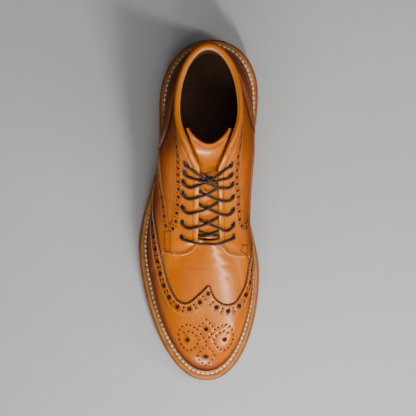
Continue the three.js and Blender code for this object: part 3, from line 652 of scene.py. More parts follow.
# %% Faces between rows of points
def grid_faces(rows, columns, wrap_rows=False, wrap_columns=False):
    i, j = np.meshgrid(np.arange(rows if wrap_rows else rows - 1),
                       np.arange(columns if wrap_columns else columns - 1), indexing="ij")
    i2, j2 = (i + 1) % rows, (j + 1) % columns
    corners = [(i, j), (i, j2), (i2, j2), (i2, j)]
    return np.stack([a * columns + b for a, b in corners], -1).reshape(-1, 4)


def swept_faces(rows, columns):
    """Faces of a closed section swept along an open line, with a cap at both ends."""
    last = (rows - 1) * columns
    caps = [list(range(columns))[::-1], list(range(last, last + columns))]
    return grid_faces(rows, columns, wrap_columns=True).tolist() + caps


def circle(steps):
    """The angles of points evenly round a circle."""
    return 2 * np.pi * np.arange(steps) / steps


print("a box as a swept square has", len(swept_faces(2, 4)), "faces")

# %% [markdown]
# ## The upper
# The upper is one shell of leather over a lining. Its vamp is plain, and walking has creased it across.
# It could be a cage under a subdivision surface, but the wall's function gives it with every seam in place.
# The creases are shallow troughs, chosen one by one: where they lie, how wide and how deep they are.

# %% The upper and its lining
AROUND = 420
CREASES = [
    dict(along=-37.5, across=5, half=26, width=1.1, depth=0.32, bow=1.5),
    dict(along=-42.5, across=0, half=21, width=1.0, depth=0.22, bow=0.8),
    dict(along=-47.0, across=9, half=24, width=1.3, depth=0.36, bow=2.0),
    dict(along=-52.5, across=2, half=18, width=1.1, depth=0.25, bow=1.2),
    dict(along=-57.5, across=16, half=14, width=1.2, depth=0.22, bow=1.0),
    dict(along=-33.0, across=-9, half=13, width=1.0, depth=0.18, bow=0.6),
]
# foot: burnished and painted shade where the upper meets the welt; side: painted shade on the lower sides,
# the outer side most; toe and heel: burnished
BURNISH_AND_SHADE = dict(foot=0.9, foot_v=0.15, toe=0.1, toe_reach=34 * MM, heel=0.42, heel_from=78 * MM,
               heel_reach=60 * MM, heel_fade=0.55, side=0.42, side_medial=0.6, side_v=0.8)
SHELL_OUT, SHELL_IN = 100, 50
LIP_ROUND, LIP_V = 0.15, 1.004
LEATHER_TO, LINING_FROM = 0.62 * WALL, 0.64 * WALL


def crease_depth(p):
    """How deep the creases are at points of the wall."""
    depth = np.zeros(p.shape[:-1])
    for c in CREASES:
        side = (p[..., 0] / MM - c["across"]) / c["half"]
        off = (p[..., 1] / MM - c["along"] + c["bow"] * side**2) / c["width"]
        depth += c["depth"] * MM * np.exp(-off**2) * np.clip(1 - side**4, 0, 1)
    return depth


def burnish_and_shade_at(u, v, p):
    """How dark each point is burnished and painted: darkest at the foot line, where the upper meets the welt,
    partly burnished and partly painted shade; painted shade, softer, over the lower sides, the outer side
    most; burnished at toe and heel.
    """
    y, b = p[..., 1], BURNISH_AND_SHADE
    foot = b["foot"] * np.exp(-(v / b["foot_v"]) ** 2)
    toe = b["toe"] * np.exp(-((y + SOLE_LENGTH / 2) / b["toe_reach"]) ** 2)
    heel = b["heel"] * np.clip((y - b["heel_from"]) / b["heel_reach"], 0, 1) * (1 - b["heel_fade"] * v)
    # painted shade: the lower sides darker, the outer side most
    side = b["side"] * np.where(is_lateral(u), 1, b["side_medial"]) * np.clip(1 - v / b["side_v"], 0, 1)
    return foot + toe + heel + side


def shell(name, outer, inner, finishes, stands_for=(), creased=False):
    """A closed shell between two distances from the wall, rounded over at the top line."""
    u = np.arange(AROUND)[:, None] / AROUND
    v = np.r_[np.linspace(0, 1, SHELL_OUT), LIP_V, LIP_V, np.linspace(1, 0, SHELL_IN)][None]
    lip = LIP_ROUND * (outer - inner)
    off = np.r_[np.full(SHELL_OUT, outer), outer - lip, inner + lip, np.full(SHELL_IN, inner)][None]
    p = wall(u, v, off)
    tag = burnish_and_shade_at(u, v, p)
    if creased:
        deep = crease_depth(p) * (off >= outer)
        p = p - normal(u, v) * deep[..., None]
    return make_piece(name, p, grid_faces(*p.shape[:2], True, True), finishes, stands_for,
                      tags={"burnish": tag})


shell("vamp_and_shaft", 0.0, -LEATHER_TO, leather, ["upper"], creased=True)
shell("shaft_lining", -LINING_FROM, -WALL, lining_in_painted_shade)

# %% [markdown]
# ## Cut leather
# The wing cap, the quarters and the counter are cut from sheet, skived at the edge and punched with holes.
# Each could be a plane with a thickness modifier, but then the holes would be a picture of holes.
# So every panel is drawn on the wall, filled with triangles between its rings, and given a thickness.

# %% Inside a loop and near a line
CHART = np.array([0.7, 0.12])


def inside(points, loop):
    """Which points lie inside a closed loop."""
    x, y = points[:, 0], points[:, 1]
    found = np.zeros(len(points), bool)
    for (ax, ay), (bx, by) in zip(loop, np.roll(loop, -1, 0)):
        if ay != by:
            cross = (ay > y) != (by > y)
            found ^= cross & (x < (bx - ax) * (y - ay) / (by - ay) + ax)
    return found


def within(points, rims):
    """Which points lie inside the first rim and outside all others."""
    found = inside(points, rims[0] * CHART)
    for ring in rims[1:]:
        found &= ~inside(points, ring * CHART)
    return found


def nearest(points, others, batch=200):
    """How far each point lies from the nearest of some others."""
    near = np.full(len(points), np.inf)
    for start in range(0, len(others), batch):
        gaps = np.linalg.norm(points[:, None] - others[None, start:start + batch], axis=-1)
        near = np.minimum(near, gaps.min(1))
    return near


def distance_to(flat, line):
    """How far points of a drawing lie from a line of it, through space."""
    line = even(line, MM)
    return nearest(wall(flat[:, 0], flat[:, 1]), wall(line[:, 0], line[:, 1]))


def signed_area(loop):
    p = loop * CHART
    q = np.roll(p, -1, 0)
    return 0.5 * (p[:, 0] * q[:, 1] - q[:, 0] * p[:, 1]).sum()


square = np.array([[0.0, 0.0], [1.0, 0.0], [1.0, 1.0], [0.0, 1.0]])
print("a square's middle is inside it:", bool(inside(square[:1] + 0.5, square)[0]))

# %% The rings of a panel
PINK_PITCH = 3.6 * MM
SKIVE, SKIVE_OVER_PINK = 0.9 * MM, 1.35
SHEET_LOW, SHEET_HIGH = -0.05 * MM, GAP + OVERLAY
RIM_SINK = 0.55 * OVERLAY
RIM_SHADE, SKIVE_SHADE = 0.3, 0.075
# The halos, punched rims and hole floors are darker: painted shade in and round each hole.
HALO, BIG_HALO_SHADE, PIN_HALO_SHADE = 0.45 * MM, 0.35, 0.1
PUNCH_SINK, PUNCH_SHADE = 0.2 * MM, 0.9
HOLE_SIDES = 10
HOLE_TAPER, HOLE_SHADE = 0.86, 2
HOLE_FLOOR, HOLE_CENTRE = 0.3 * MM, 0.25 * MM


def cut_edges(loops, pink, pitch):
    """Each loop's rim, pinked on the first one, the line its skiving starts at and its foot."""
    rims, skives, feet = [], [], []
    for k, drawn in enumerate(loops):
        edge = even(drawn, pitch / 4, closed=True)
        turn = 1 if signed_area(edge) > 0 else -1
        inward = turn if k == 0 else -turn
        count = len(edge) // 4 * 4
        edge = even(drawn, pitch / 4 * len(edge) / count, closed=True)[:count]
        wave = pink * (0.5 - 0.5 * np.cos(np.arange(len(edge)) * np.pi / 2)) if k == 0 else 0.0
        rims.append(shift(edge, inward * wave, closed=True))
        skives.append(shift(edge, inward * max(SKIVE, SKIVE_OVER_PINK * pink), closed=True))
        feet.append(edge)
    return rims, skives, feet


def ring_round(centre, radius):
    """A circle of some radius round a point of the drawing."""
    angle = circle(HOLE_SIDES)
    path = np.repeat(np.atleast_2d(centre), HOLE_SIDES, 0)
    _, along, _, out = frame_at(path)
    first = unit(along)
    second = np.cross(out, first)
    move = first * np.cos(angle)[:, None] + second * np.sin(angle)[:, None]
    return to_chart(path, move * radius)


def hole_rings(centre, radius, low, high):
    """A punched hole from its halo to its middle: rings of points, each with its height and shade."""
    return [(ring_round(centre, radius + HALO), high, BIG_HALO_SHADE if radius > MM else PIN_HALO_SHADE),
            (ring_round(centre, radius), high - PUNCH_SINK, PUNCH_SHADE),
            (ring_round(centre, radius * HOLE_TAPER), low + HOLE_FLOOR, HOLE_SHADE),
            (np.atleast_2d(centre), low + HOLE_CENTRE, HOLE_SHADE)]


print("a hole has", sum(len(ring) for ring, _, _ in hole_rings(np.array([0.5, 0.5]), MM, 0, MM)), "points")

# %% Filling a panel with triangles
PANEL_STEP = 2.1 * MM
FILL_CLEAR = 0.55 * PANEL_STEP
CLOSE_TO = 1e-7


def filling(loop, rims, fixed):
    """A triangular grid of points inside a panel, clear of its rings."""
    low, high = loop.min(0) * CHART, loop.max(0) * CHART
    grid = np.stack(np.meshgrid(*(np.arange(low[k], high[k], PANEL_STEP) for k in (0, 1))), -1)
    grid[1::2, :, 0] += PANEL_STEP / 2
    grid = grid.reshape(-1, 2)
    grid = grid[within(grid, rims)]
    return grid[nearest(grid, fixed * CHART) > FILL_CLEAR] / CHART


def triangulate(loop, rims, rings):
    """The panel's points, which ring point each came from (or -1), and its triangles."""
    flat = np.vstack(rings)
    flat = np.vstack([flat, filling(loop, rims, flat)])
    edges, start = [], 0
    for ring in rings:
        at = start + np.arange(len(ring))
        if len(ring) > 1:
            edges += zip(at.tolist(), np.roll(at, -1).tolist())
        start += len(ring)
    made, _, tris, origin, _, _ = geometry.delaunay_2d_cdt(
        [Vector(p) for p in (flat * CHART).tolist()], edges, [], 0, CLOSE_TO)
    flat = np.array([v[:] for v in made]) / CHART
    source = np.array([ids[0] if ids and ids[0] < start else -1 for ids in origin])
    tris = np.array([t[:] for t in tris])
    return flat, source, tris[within(flat[tris].mean(1) * CHART, rims)]


print("a panel's points are", round(PANEL_STEP / MM, 2), "mm apart, and closer at its edges and holes")

# %% A panel cut from sheet
PLAIN, RIM, HOLE, PALE = range(4)
HOLE_FROM = 0.8
DARKEST = 1.2


def panel(name, loop, holes=(), windows=(), low=SHEET_LOW, high=SHEET_HIGH, pink=0.0, pink_pitch=PINK_PITCH,
          rim_finish=inked_edge_and_shade, lift=None, shade=None, pale=None, stands_for=()):
    """A sheet of leather on the wall, with a skived rim and punched holes, each a centre and a radius."""
    rims, skives, feet = cut_edges([loop, *windows], pink, pink_pitch)
    rings = [(ring, high - RIM_SINK, RIM_SHADE) for ring in rims]
    rings += [(ring, high, SKIVE_SHADE) for ring in skives]
    for centre, radius in holes:
        rings += hole_rings(centre, radius, low, high)
    flat, source, tris = triangulate(loop, rims, [ring for ring, _, _ in rings])
    fixed = source >= 0
    counts = [len(ring) for ring, _, _ in rings]
    height, tag = (np.where(fixed, np.repeat([ring[k] for ring in rings], counts)[source], elsewhere)
                   for k, elsewhere in ((1, high), (2, 0.0)))
    on_rim = fixed & (source < sum(map(len, rims)))
    foot = flat.copy()
    foot[on_rim] = np.vstack(feet)[source[on_rim]]
    raised = lift(flat) if lift is not None else 0.0
    upper = wall(flat[:, 0], flat[:, 1], height + raised)
    under = wall(foot[:, 0], foot[:, 1], low + raised)

    count = len(flat)
    known = set(map(tuple, np.vstack([tris[:, [0, 1]], tris[:, [1, 2]], tris[:, [2, 0]]]).tolist()))
    border = np.array([(a, b) for a, b in known if (b, a) not in known])
    walls = np.stack([border[:, 1], border[:, 0], border[:, 0] + count, border[:, 1] + count], -1)
    faces = [*tris.tolist(), *(tris[:, ::-1] + count).tolist(), *walls.tolist()]
    is_hole = (tag[tris] > HOLE_FROM).all(1)
    is_rim = on_rim[tris].any(1) & ((height[tris] < high).sum(1) >= 2)
    top = np.where(is_hole, HOLE, np.where(is_rim, RIM, PLAIN))
    side = np.full(len(walls), RIM)
    if pale is not None:
        top[is_rim & pale(flat[tris].mean(1))] = PALE
        side[pale(flat[border].mean(1))] = PALE
    # painted shade in and round the punched holes, added to the number each point of the wall carries
    polish_and_shade = burnish_and_shade_at(flat[:, 0], flat[:, 1], upper) + np.minimum(tag, DARKEST)
    if shade is not None:
        polish_and_shade += shade(flat)
    return make_piece(name, np.vstack([upper, under]), faces, [leather, rim_finish, hole_painted_shade, cut_edge_and_highlight],
                      stands_for, np.r_[top, np.full(len(tris), RIM), side],
                      {"burnish": np.r_[polish_and_shade, polish_and_shade]})


print("kinds of faces in a panel:", dict(plain=PLAIN, rim=RIM, hole=HOLE, pale=PALE))

# %% [markdown]
# ## Thread
# A stitch is a short bead of waxed thread, sunk a little in the leather.
# Hundreds of them share one shape, so one bead is copied along each seam into a single mesh.

# %% Stitches
BEAD_RINGS = [(-0.5, 0.0), (-0.42, 0.7), (-0.2, 1.0), (0.2, 1.0), (0.42, 0.7), (0.5, 0.0)]
BEAD_SIDES = 6
LEAN = 0.12
threads = {}


def bead(length, radius):
    points = np.array([(a * length, radius * r * math.cos(t), radius * r * math.sin(t))
                       for a, r in BEAD_RINGS for t in circle(BEAD_SIDES)])
    return points, grid_faces(len(BEAD_RINGS), BEAD_SIDES, wrap_columns=True)


def sew(group, path, off, pitch=2.2 * MM, radius=0.36 * MM, share=0.78, lift=None):
    """Beads along a drawing on the wall, kept under a group's name."""
    path = even(path, pitch)
    p, run, left, out = tangents(path)
    height = np.full(len(path), off) + (lift(path) if lift else 0)
    beads = (p + out * height[:, None], unit(run + left * LEAN), out, pitch * share, radius)
    threads.setdefault(group, []).append(beads)


def sew_points(group, points, out, pitch=2.0 * MM, radius=0.33 * MM, share=0.75):
    """Beads along a line of points in space."""
    run = np.r_[0, np.cumsum(np.linalg.norm(np.diff(points, axis=0), axis=1))]
    at = np.arange(pitch / 2, run[-1], pitch)
    p, away = (np.stack([np.interp(at, run, row[:, k]) for k in range(3)], -1) for row in (points, out))
    beads = (p, unit(np.gradient(p, axis=0)), unit(away), pitch * share, radius)
    threads.setdefault(group, []).append(beads)


def make_threads(group, name, thread):
    """One piece of all the beads kept under a group's name."""
    points, faces, start = [], [], 0
    for centres, runs, outs, length, radius in threads.pop(group):
        shape, quads = bead(length, radius)
        sides = unit(np.cross(outs, runs))
        axes = np.stack([runs, sides, unit(np.cross(runs, sides))], 1)
        placed = np.einsum("ki,nij->nkj", shape, axes) + centres[:, None]
        points.append(placed.reshape(-1, 3))
        starts = start + len(shape) * np.arange(len(centres))
        faces.append((quads[None] + starts[:, None, None]).reshape(-1, 4))
        start += len(points[-1])
    return make_piece(name, np.vstack(points), np.vstack(faces), thread, sharp=180)


print("a stitch has", len(bead(MM, MM)[1]), "faces")


# %% [markdown]
# ## The wing cap
# Its pinked edge sweeps back from a peak at the middle of the toe, low along both sides, like two wings.
# Behind the edge lie a row of stitches, big holes with pinholes in pairs, and a second row of stitches.

# %% The wing cap
WING_EDGE = {
    "lateral": [(0.43, -0.02), (0.44, 0.2), (0.458, 0.29), (0.483, 0.335), (0.515, 0.39), (0.552, 0.46),
                (0.598, 0.525), (0.652, 0.569), (0.732, 0.606), (0.807, 0.625), (0.883, 0.645), (0.925, 0.65),
                (0.955, 0.68), (0.978, 0.75), (0.995, 0.8)],
    "medial": [(0.53, -0.02), (0.545, 0.16), (0.575, 0.29), (0.612, 0.4), (0.652, 0.488), (0.738, 0.594),
               (0.828, 0.64), (0.907, 0.66), (0.938, 0.656), (0.963, 0.68), (0.983, 0.731), (0.995, 0.8)],
}
BIG_HOLE = 1.7 * MM
PIN_HOLE = 0.6 * MM
BAND_MIDDLE = 6.2 * MM
BAND_PITCH = 11.2 * MM
BAND_INNER = 11.0 * MM
WING_PINK = 1.3 * MM
WING_PINK_PITCH = 2.6 * MM
STITCH_OFF = SHEET_HIGH + 0.12 * MM
FINE_PITCH = 2.0 * MM
WING_ROWS = {"wing_upper": dict(inward=2.5 * MM, pitch=WING_PINK_PITCH, radius=0.42 * MM),
             "wing_lower": dict(inward=BAND_INNER, pitch=FINE_PITCH, radius=0.36 * MM)}
WING_HOLES_FROM, WING_STITCHES_FROM = 0.08, 0.1

wing_line = {side: smooth_line(on_side(side, rows)) for side, rows in WING_EDGE.items()}
print("wing edge, outer and inner side:", [len(line) for line in wing_line.values()])


def band_holes(places, shown, big=BIG_HOLE, pin=PIN_HOLE, spread=1.6 * MM):
    """Big holes at every fourth place that is shown, with a pair of pinholes between two of them."""
    holes = []
    for k in np.flatnonzero(shown):
        if k % 4 == 0:
            holes.append((places[k], big))
        elif k % 4 == 2:
            pair = places[max(k - 1, 0):k + 2]
            holes += [(shift(pair, way)[min(1, len(pair) - 1)], pin) for way in (-spread, spread)]
    return holes


# %% [markdown]
# ## Medallion
# The punched ornament on the toe is the traditional one: a spray of pinholes round four bigger holes.
# It is symmetric, so one half is listed, in millimetres across and along from its centre, and mirrored.

# %% Places on the wall, by row
def find_on_wall(x, y, tries=30, longest=0.05):
    """The points of the drawing that lie over places of the ground plan, sought from the toe."""
    path = np.full((len(x), 2), 0.5)
    for _ in range(tries):
        p, along, climb, _ = frame_at(path)
        gap = np.stack([x - p[:, 0], y - p[:, 1]], -1)
        det = along[:, 0] * climb[:, 1] - along[:, 1] * climb[:, 0]
        step = np.stack([(gap[:, 0] * climb[:, 1] - gap[:, 1] * climb[:, 0]) / det,
                         (gap[:, 1] * along[:, 0] - gap[:, 0] * along[:, 1]) / det], -1)
        path = path + np.clip(step, -longest, longest)
    return path


MEDALLION_AT = (6.5 * MM, -116.8 * MM)
MEDALLION_HOLE = 0.95 * BIG_HOLE
MEDALLION_BIG = [(0, 12.0), (16.5, 2.8), (0, -12.2)]
MEDALLION_PINS = [
    (0, 20.5), (3.1, 17.2), (5.6, 14.8), (7.8, 11.8), (4.7, 7.8), (2.4, 4.6), (0, 0.8), (0, -2.4),
    (10.6, 13.6), (13.8, 15.2), (17.2, 16.0), (20.8, 14.6), (23.2, 11.6), (24.0, 7.4), (23.4, 3.0),
    (21.7, -1.2), (19.4, -4.4), (16.5, -6.6), (13.0, -6.2), (9.8, -4.2), (7.5, -1.2), (6.8, 2.4),
    (8.8, 6.2), (11.9, 8.8), (15.6, 10.2), (19.4, 9.2),
    (2.7, -4.9), (5.2, -7.7), (7.3, -11.0), (6.0, -15.0), (3.2, -18.3), (0, -20.8),
]


def medallion_holes():
    holes = []
    for rows, radius in ((MEDALLION_BIG, MEDALLION_HOLE), (MEDALLION_PINS, PIN_HOLE)):
        rows = np.array(sorted({(s * x, y) for x, y in rows for s in (-1, 1)}))
        places = find_on_wall(MEDALLION_AT[0] + rows[:, 0] * MM, MEDALLION_AT[1] + rows[:, 1] * MM)
        holes += [(place, radius) for place in places]
    return holes


medallion = medallion_holes()
print("holes in the medallion:", len(medallion))

# %% The wing cap's sheet
TAIL_WAY, TAIL_SOFT = 0.66, 0.03
TAIL_LIFT = 0.75 * MM
MIDDLE_SLACK = 0.002
MIDDLE_CLEAR, MIDDLE_NEAR = 0.001, 0.03
BAND_SHADE, BAND_SHADE_SOFT = 0.1, 2 * MM


def from_middle(line, inward, side):
    """A row beside the wing's edge, from the middle of the toe back along one side."""
    row = shift(line, inward)
    own = row[is_lateral(row[:, 0]) == (side == "lateral")]
    order = np.argsort(row[:, 0])
    near = order[np.abs(row[order, 0] - 0.5) < MIDDLE_NEAR]
    crossing = np.interp(0.5, row[near, 0], row[near, 1])
    return np.vstack([[0.5, crossing], own[np.abs(own[:, 0] - 0.5) > MIDDLE_CLEAR]])


def tail_lift(flat):
    """The wing's tails lie over the quarters, so they rise by a sheet's thickness there."""
    return TAIL_LIFT * ease((TAIL_WAY + TAIL_SOFT - way_of(flat[:, 0])) / TAIL_SOFT)


def toward(line, reference):
    """1 or -1, so that a shift of a drawing by this times a length goes toward another point of it."""
    half_way = len(line) // 2
    goal = wall(*reference)
    ahead, back = (np.linalg.norm(wall(*shift(line, way * MM)[half_way]) - goal) for way in (1, -1))
    return 1 if ahead < back else -1


def wing_shade(flat):
    """The band round the wing is polished a little darker."""
    near = np.minimum(*(distance_to(flat, line) for line in wing_line.values()))
    return BAND_SHADE * (1 - ease((near - BAND_INNER) / BAND_SHADE_SOFT))


wing_loop = np.vstack([wing_line["lateral"], wing_line["medial"][::-1]])
wing_holes = list(medallion)
wing_inward = {}
for side in wing_line:
    line = wing_line[side][::-1]
    inward = toward(line, line[len(line) // 2] - (0, 0.1))
    wing_inward[side] = inward
    places = even(from_middle(line, inward * BAND_MIDDLE, side), BAND_PITCH / 4)
    shown = places[:, 1] > WING_HOLES_FROM
    if side == "medial":
        shown &= places[:, 0] > 0.5 + MIDDLE_SLACK
    wing_holes += band_holes(places, shown)
    for group, row in WING_ROWS.items():
        sewn = from_middle(line, inward * row["inward"], side)
        sewn = sewn[sewn[:, 1] > WING_STITCHES_FROM]
        sew(group, sewn, STITCH_OFF, row["pitch"], row["radius"], lift=tail_lift)

panel("wing_cap_leather", wing_loop, wing_holes, pink=WING_PINK, pink_pitch=WING_PINK_PITCH, lift=tail_lift,
      stands_for=["wing_cap"], shade=wing_shade)
make_threads("wing_upper", "wing_edge_stitches", thread_light)
make_threads("wing_lower", "wing_band_stitches", thread_light)

# %% [markdown]
# ## The quarters
# Each quarter carries the eyelets at its facing and ends in a rounded tab over the vamp.
# It runs back to the heel, where its rim lies under the counter, as it does under the wing in front.
# A window is left open in its side, with a brogued band all round it.
# The cut edge of the facing and the tab is pale: its natural tone, and partly a painted highlight along that
# edge.

# %% The quarters
TAB_EDGE = {
    "lateral": [(0.655, 0.6), (0.662, 0.644), (0.72, 0.735), (0.775, 0.8), (0.83, 0.85), (0.862, 0.888),
                (0.866, 0.925), (0.838, 0.96), (0.75, 0.985), (0.608, 1.0)],
    "medial": [(0.682, 0.56), (0.687, 0.6), (0.745, 0.705), (0.807, 0.788), (0.855, 0.845), (0.885, 0.881),
               (0.89, 0.925), (0.85, 0.965), (0.755, 0.986), (0.608, 1.0)],
}
COUNTER_EDGE = {
    "lateral": [(0.365, -0.02), (0.356, 0.16), (0.345, 0.3), (0.327, 0.425), (0.295, 0.519), (0.262, 0.59),
                (0.2, 0.67), (0.13, 0.765), (0.09, 0.87), (0.07, 1.0)],
    "medial": [(0.325, -0.02), (0.314, 0.18), (0.298, 0.306), (0.275, 0.419), (0.242, 0.513), (0.2, 0.606),
               (0.15, 0.68), (0.11, 0.78), (0.083, 0.87), (0.068, 1.0)],
}
OPENING_EDGE = {
    "lateral": [(0.04, 0.8), (0.16, 0.8), (0.25, 0.79), (0.305, 0.8), (0.335, 0.79), (0.357, 0.762),
                (0.412, 0.738), (0.465, 0.733), (0.518, 0.72), (0.543, 0.712), (0.558, 0.69), (0.557, 0.66),
                (0.54, 0.64), (0.517, 0.618), (0.49, 0.588), (0.472, 0.55), (0.438, 0.495), (0.403, 0.445),
                (0.36, 0.4), (0.3, 0.36), (0.04, 0.34)],
    "medial": [(0.04, 0.8), (0.16, 0.8), (0.25, 0.8), (0.3, 0.805), (0.335, 0.8), (0.357, 0.765),
               (0.42, 0.742), (0.45, 0.708), (0.487, 0.7), (0.522, 0.672), (0.543, 0.655), (0.554, 0.61),
               (0.55, 0.52), (0.526, 0.43), (0.48, 0.39), (0.42, 0.372), (0.36, 0.36), (0.3, 0.35),
               (0.04, 0.34)],
}
EYELETS = {
    "lateral": [(0.595, 0.838), (0.553, 0.838), (0.51, 0.838), (0.465, 0.838), (0.425, 0.848), (0.39, 0.868),
                (0.358, 0.895)],
    "medial": [(0.605, 0.828), (0.56, 0.822), (0.513, 0.836), (0.465, 0.842), (0.42, 0.856), (0.385, 0.872),
               (0.354, 0.9)],
}
TAB_BOX = {"lateral": [(0.577, 0.619), (0.578, 0.694), (0.677, 0.706), (0.655, 0.631)],
           "medial": [(0.653, 0.7), (0.632, 0.58), (0.695, 0.63), (0.716, 0.75)]}
UNDER_COUNTER, UNDER_WING = 0.02, 5 * MM
TUCK, TUCK_FROM, TUCK_SOFT = 0.6 * MM, 0.5 * MM, 1.5 * MM
TOP_EDGE, TOP_POINTS = 0.998, 60
print("eyelets on each side:", [len(rows) for rows in EYELETS.values()])

# %% The quarters' outlines
counter_line = {"lateral": smooth_line(on_side("lateral", COUNTER_EDGE["lateral"])),
                "medial": smooth_line(on_side("medial", COUNTER_EDGE["medial"])) - [1, 0]}
for line in counter_line.values():
    line[:, 1] = np.minimum(line[:, 1], TOP_EDGE)
counter_loop = np.vstack([counter_line["lateral"], counter_line["medial"][::-1]])


def tuck(flat):
    """The quarter is skived thin where the wing and the counter lie over it."""
    sink = np.zeros(len(flat))
    behind = flat - np.stack([flat[:, 0] > 0.5, np.zeros(len(flat))], -1)
    for points, loop in ((flat, wing_loop), (behind, counter_loop)):
        side = np.where(inside(points * CHART, loop * CHART), 1, -1)
        sink = np.maximum(sink, ease((side * distance_to(points, loop) + TUCK_FROM) / TUCK_SOFT))
    return -TUCK * sink


def quarter_edges(side):
    """The quarter's outline, which goes on under the counter and the wing, and its tab's part of it."""
    counter = smooth_line(on_side(side, COUNTER_EDGE[side], -UNDER_COUNTER))
    tab = smooth_line(on_side(side, TAB_EDGE[side]))
    under_wing = shift(wing_line[side], -wing_inward[side] * UNDER_WING)
    below_tab = under_wing[:, 1] < tab[0, 1] - 0.02
    under_wing = under_wing[below_tab & (way_of(under_wing[:, 0]) < TAB_EDGE[side][0][0] + 0.03)]
    for line in (counter, tab):
        line[:, 1] = np.minimum(line[:, 1], TOP_EDGE)
    top = np.linspace(tab[-1], counter[-1], TOP_POINTS)[1:-1]
    return np.vstack([counter[::-1], under_wing, tab, top]), tab


print("the counter's outline has", len(counter_loop), "points")

# %% The quarters
SMALL_HOLES = dict(big=1.2 * MM, pin=0.5 * MM, spread=1.3 * MM)
SMALL_PITCH = 8.6 * MM
BAND_OUT = 3.6 * MM
BAND_OUT_STITCH = (1.1 * MM, 6.1 * MM)
BAND_OUT_FROM = 0.1
TAB_ROWS, TAB_FREE = (1.5 * MM, 3.4 * MM), 8
IN_WINDOW, IN_TAB, IN_FACING = (0.3, 0.55), (0.6, 0.85), (0.47, 0.7)
BOX_PITCH, BOX_THREAD = 2.6 * MM, 0.55 * MM
COLLAR_WAY = 0.335
FACING_ROW = 3.6 * MM
EYELET_HOLE = 2.0 * MM
PALE_FROM = 0.66


def is_pale(flat):
    """The cut edge of the facing and the tab is pale: its natural tone, and partly a painted highlight."""
    return (way_of(flat[:, 0]) > COLLAR_WAY) & (flat[:, 1] > PALE_FROM)


def quarter(side):
    window_group, facing_group = f"quarter_{side}", f"facing_{side}"
    loop, tab = quarter_edges(side)
    window = smooth_line(on_side(side, OPENING_EDGE[side]))
    away = -toward(window, *on_side(side, [IN_WINDOW]))
    places = even(shift(window, away * BAND_OUT), SMALL_PITCH / 4)
    holes = band_holes(places, way_of(places[:, 0]) > BAND_OUT_FROM, **SMALL_HOLES)
    holes += [(place, EYELET_HOLE) for place in on_side(side, EYELETS[side])]
    for row in BAND_OUT_STITCH:
        sew(window_group, shift(window, away * row), STITCH_OFF)
    tab_in = toward(tab, *on_side(side, [IN_TAB]))
    for row in TAB_ROWS:
        sew(facing_group, shift(tab, tab_in * row)[TAB_FREE:-TAB_FREE], STITCH_OFF, FINE_PITCH)
    box = on_side(side, TAB_BOX[side] + TAB_BOX[side][:1])
    for a, b in zip(box, box[1:]):
        sew(facing_group, np.linspace(a, b, 12), STITCH_OFF, BOX_PITCH, BOX_THREAD)
    facing = on_side(side, np.linspace((THROAT_WAY, 1.0), (COLLAR_WAY, 1.0), 60))
    facing_in = toward(facing, *on_side(side, [IN_FACING]))
    sew(facing_group, shift(facing, facing_in * FACING_ROW), STITCH_OFF, FINE_PITCH)
    panel(f"quarter_{side}_leather", loop, holes, [window], rim_finish=quarter_edge, lift=tuck, pale=is_pale,
          stands_for=[f"quarter_{side}"])
    make_threads(window_group, f"window_stitches_{side}", thread_tan)
    make_threads(facing_group, f"facing_stitches_{side}", thread_dark)


for side in OUTLINE:
    quarter(side)

# %% [markdown]
# ## The heel counter
# The counter wraps the heel from one side to the other and narrows upward to a stay behind the ankle.
# It lies over the quarters, so its front edge stands a sheet's thickness higher.

# %% The heel counter and the strap behind the collar
COUNTER_LIFT = 0.75 * MM
COUNTER_OVER, COUNTER_SOFT = 0.02, 0.04
COUNTER_BAND = 3.6 * MM
COUNTER_ROWS = (1.2 * MM, 6.2 * MM)
COUNTER_HOLES_V, COUNTER_ROWS_V = (0.1, 0.84), (0.08, 0.93)
STRAP_WAY, STRAP_FROM, STRAP_TO = 0.058, 0.915, 0.985
STRAP_LOW, STRAP = SHEET_HIGH + 2 * GAP, 1.4 * MM
STRAP_HIGH, STRAP_POINTS, STRAP_ROW = STRAP_LOW + STRAP, 20, 1.5 * MM


def counter_lift(flat):
    """Highest at the front edge, where the counter lies over the quarter."""
    lift = np.zeros(len(flat))
    for side, rows in COUNTER_EDGE.items():
        rows = np.array(rows)
        edge = np.interp(flat[:, 1], rows[:, 1], rows[:, 0])
        on = is_lateral(flat[:, 0]) == (side == "lateral")
        near = 1 - (edge - way_of(flat[:, 0]) - COUNTER_OVER) / COUNTER_SOFT
        lift = np.where(on, COUNTER_LIFT * ease(near), lift)
    return lift


def rising(flat, low, high):
    """Which points of a drawing lie between two heights on the wall."""
    return (flat[:, 1] > low) & (flat[:, 1] < high)


counter_holes = []
for side, line in counter_line.items():
    inward = toward(line, (0, 0.4))
    places = even(shift(line, inward * COUNTER_BAND), SMALL_PITCH / 4)
    counter_holes += band_holes(places, rising(places, *COUNTER_HOLES_V), **SMALL_HOLES)
    for row in COUNTER_ROWS:
        sewn = shift(line, inward * row)
        sew("counter", sewn[rising(sewn, *COUNTER_ROWS_V)], STITCH_OFF, lift=counter_lift)
panel("heel_counter_leather", counter_loop, counter_holes, lift=counter_lift, stands_for=["heel_counter"])
make_threads("counter", "counter_stitches", thread_tan)

right = STRAP_WAY / 2
corners = np.array([(-right, STRAP_FROM), (right, STRAP_FROM), (right, STRAP_TO), (-right, STRAP_TO)])
strap_sides = zip(corners, np.roll(corners, -1, 0))
strap_loop = np.vstack([np.linspace(a, b, STRAP_POINTS)[:-1] for a, b in strap_sides])
panel("back_strap_leather", strap_loop, low=STRAP_LOW, high=STRAP_HIGH, stands_for=["back_strap"])
strap_in = toward(strap_loop[:STRAP_POINTS - 1], (0, 0.95))
strap_row = np.vstack([strap_loop, strap_loop[:1]])
sew("strap", shift(strap_row, strap_in * STRAP_ROW), STRAP_HIGH + 0.1 * MM, FINE_PITCH)
make_threads("strap", "back_strap_stitches", thread_dark)

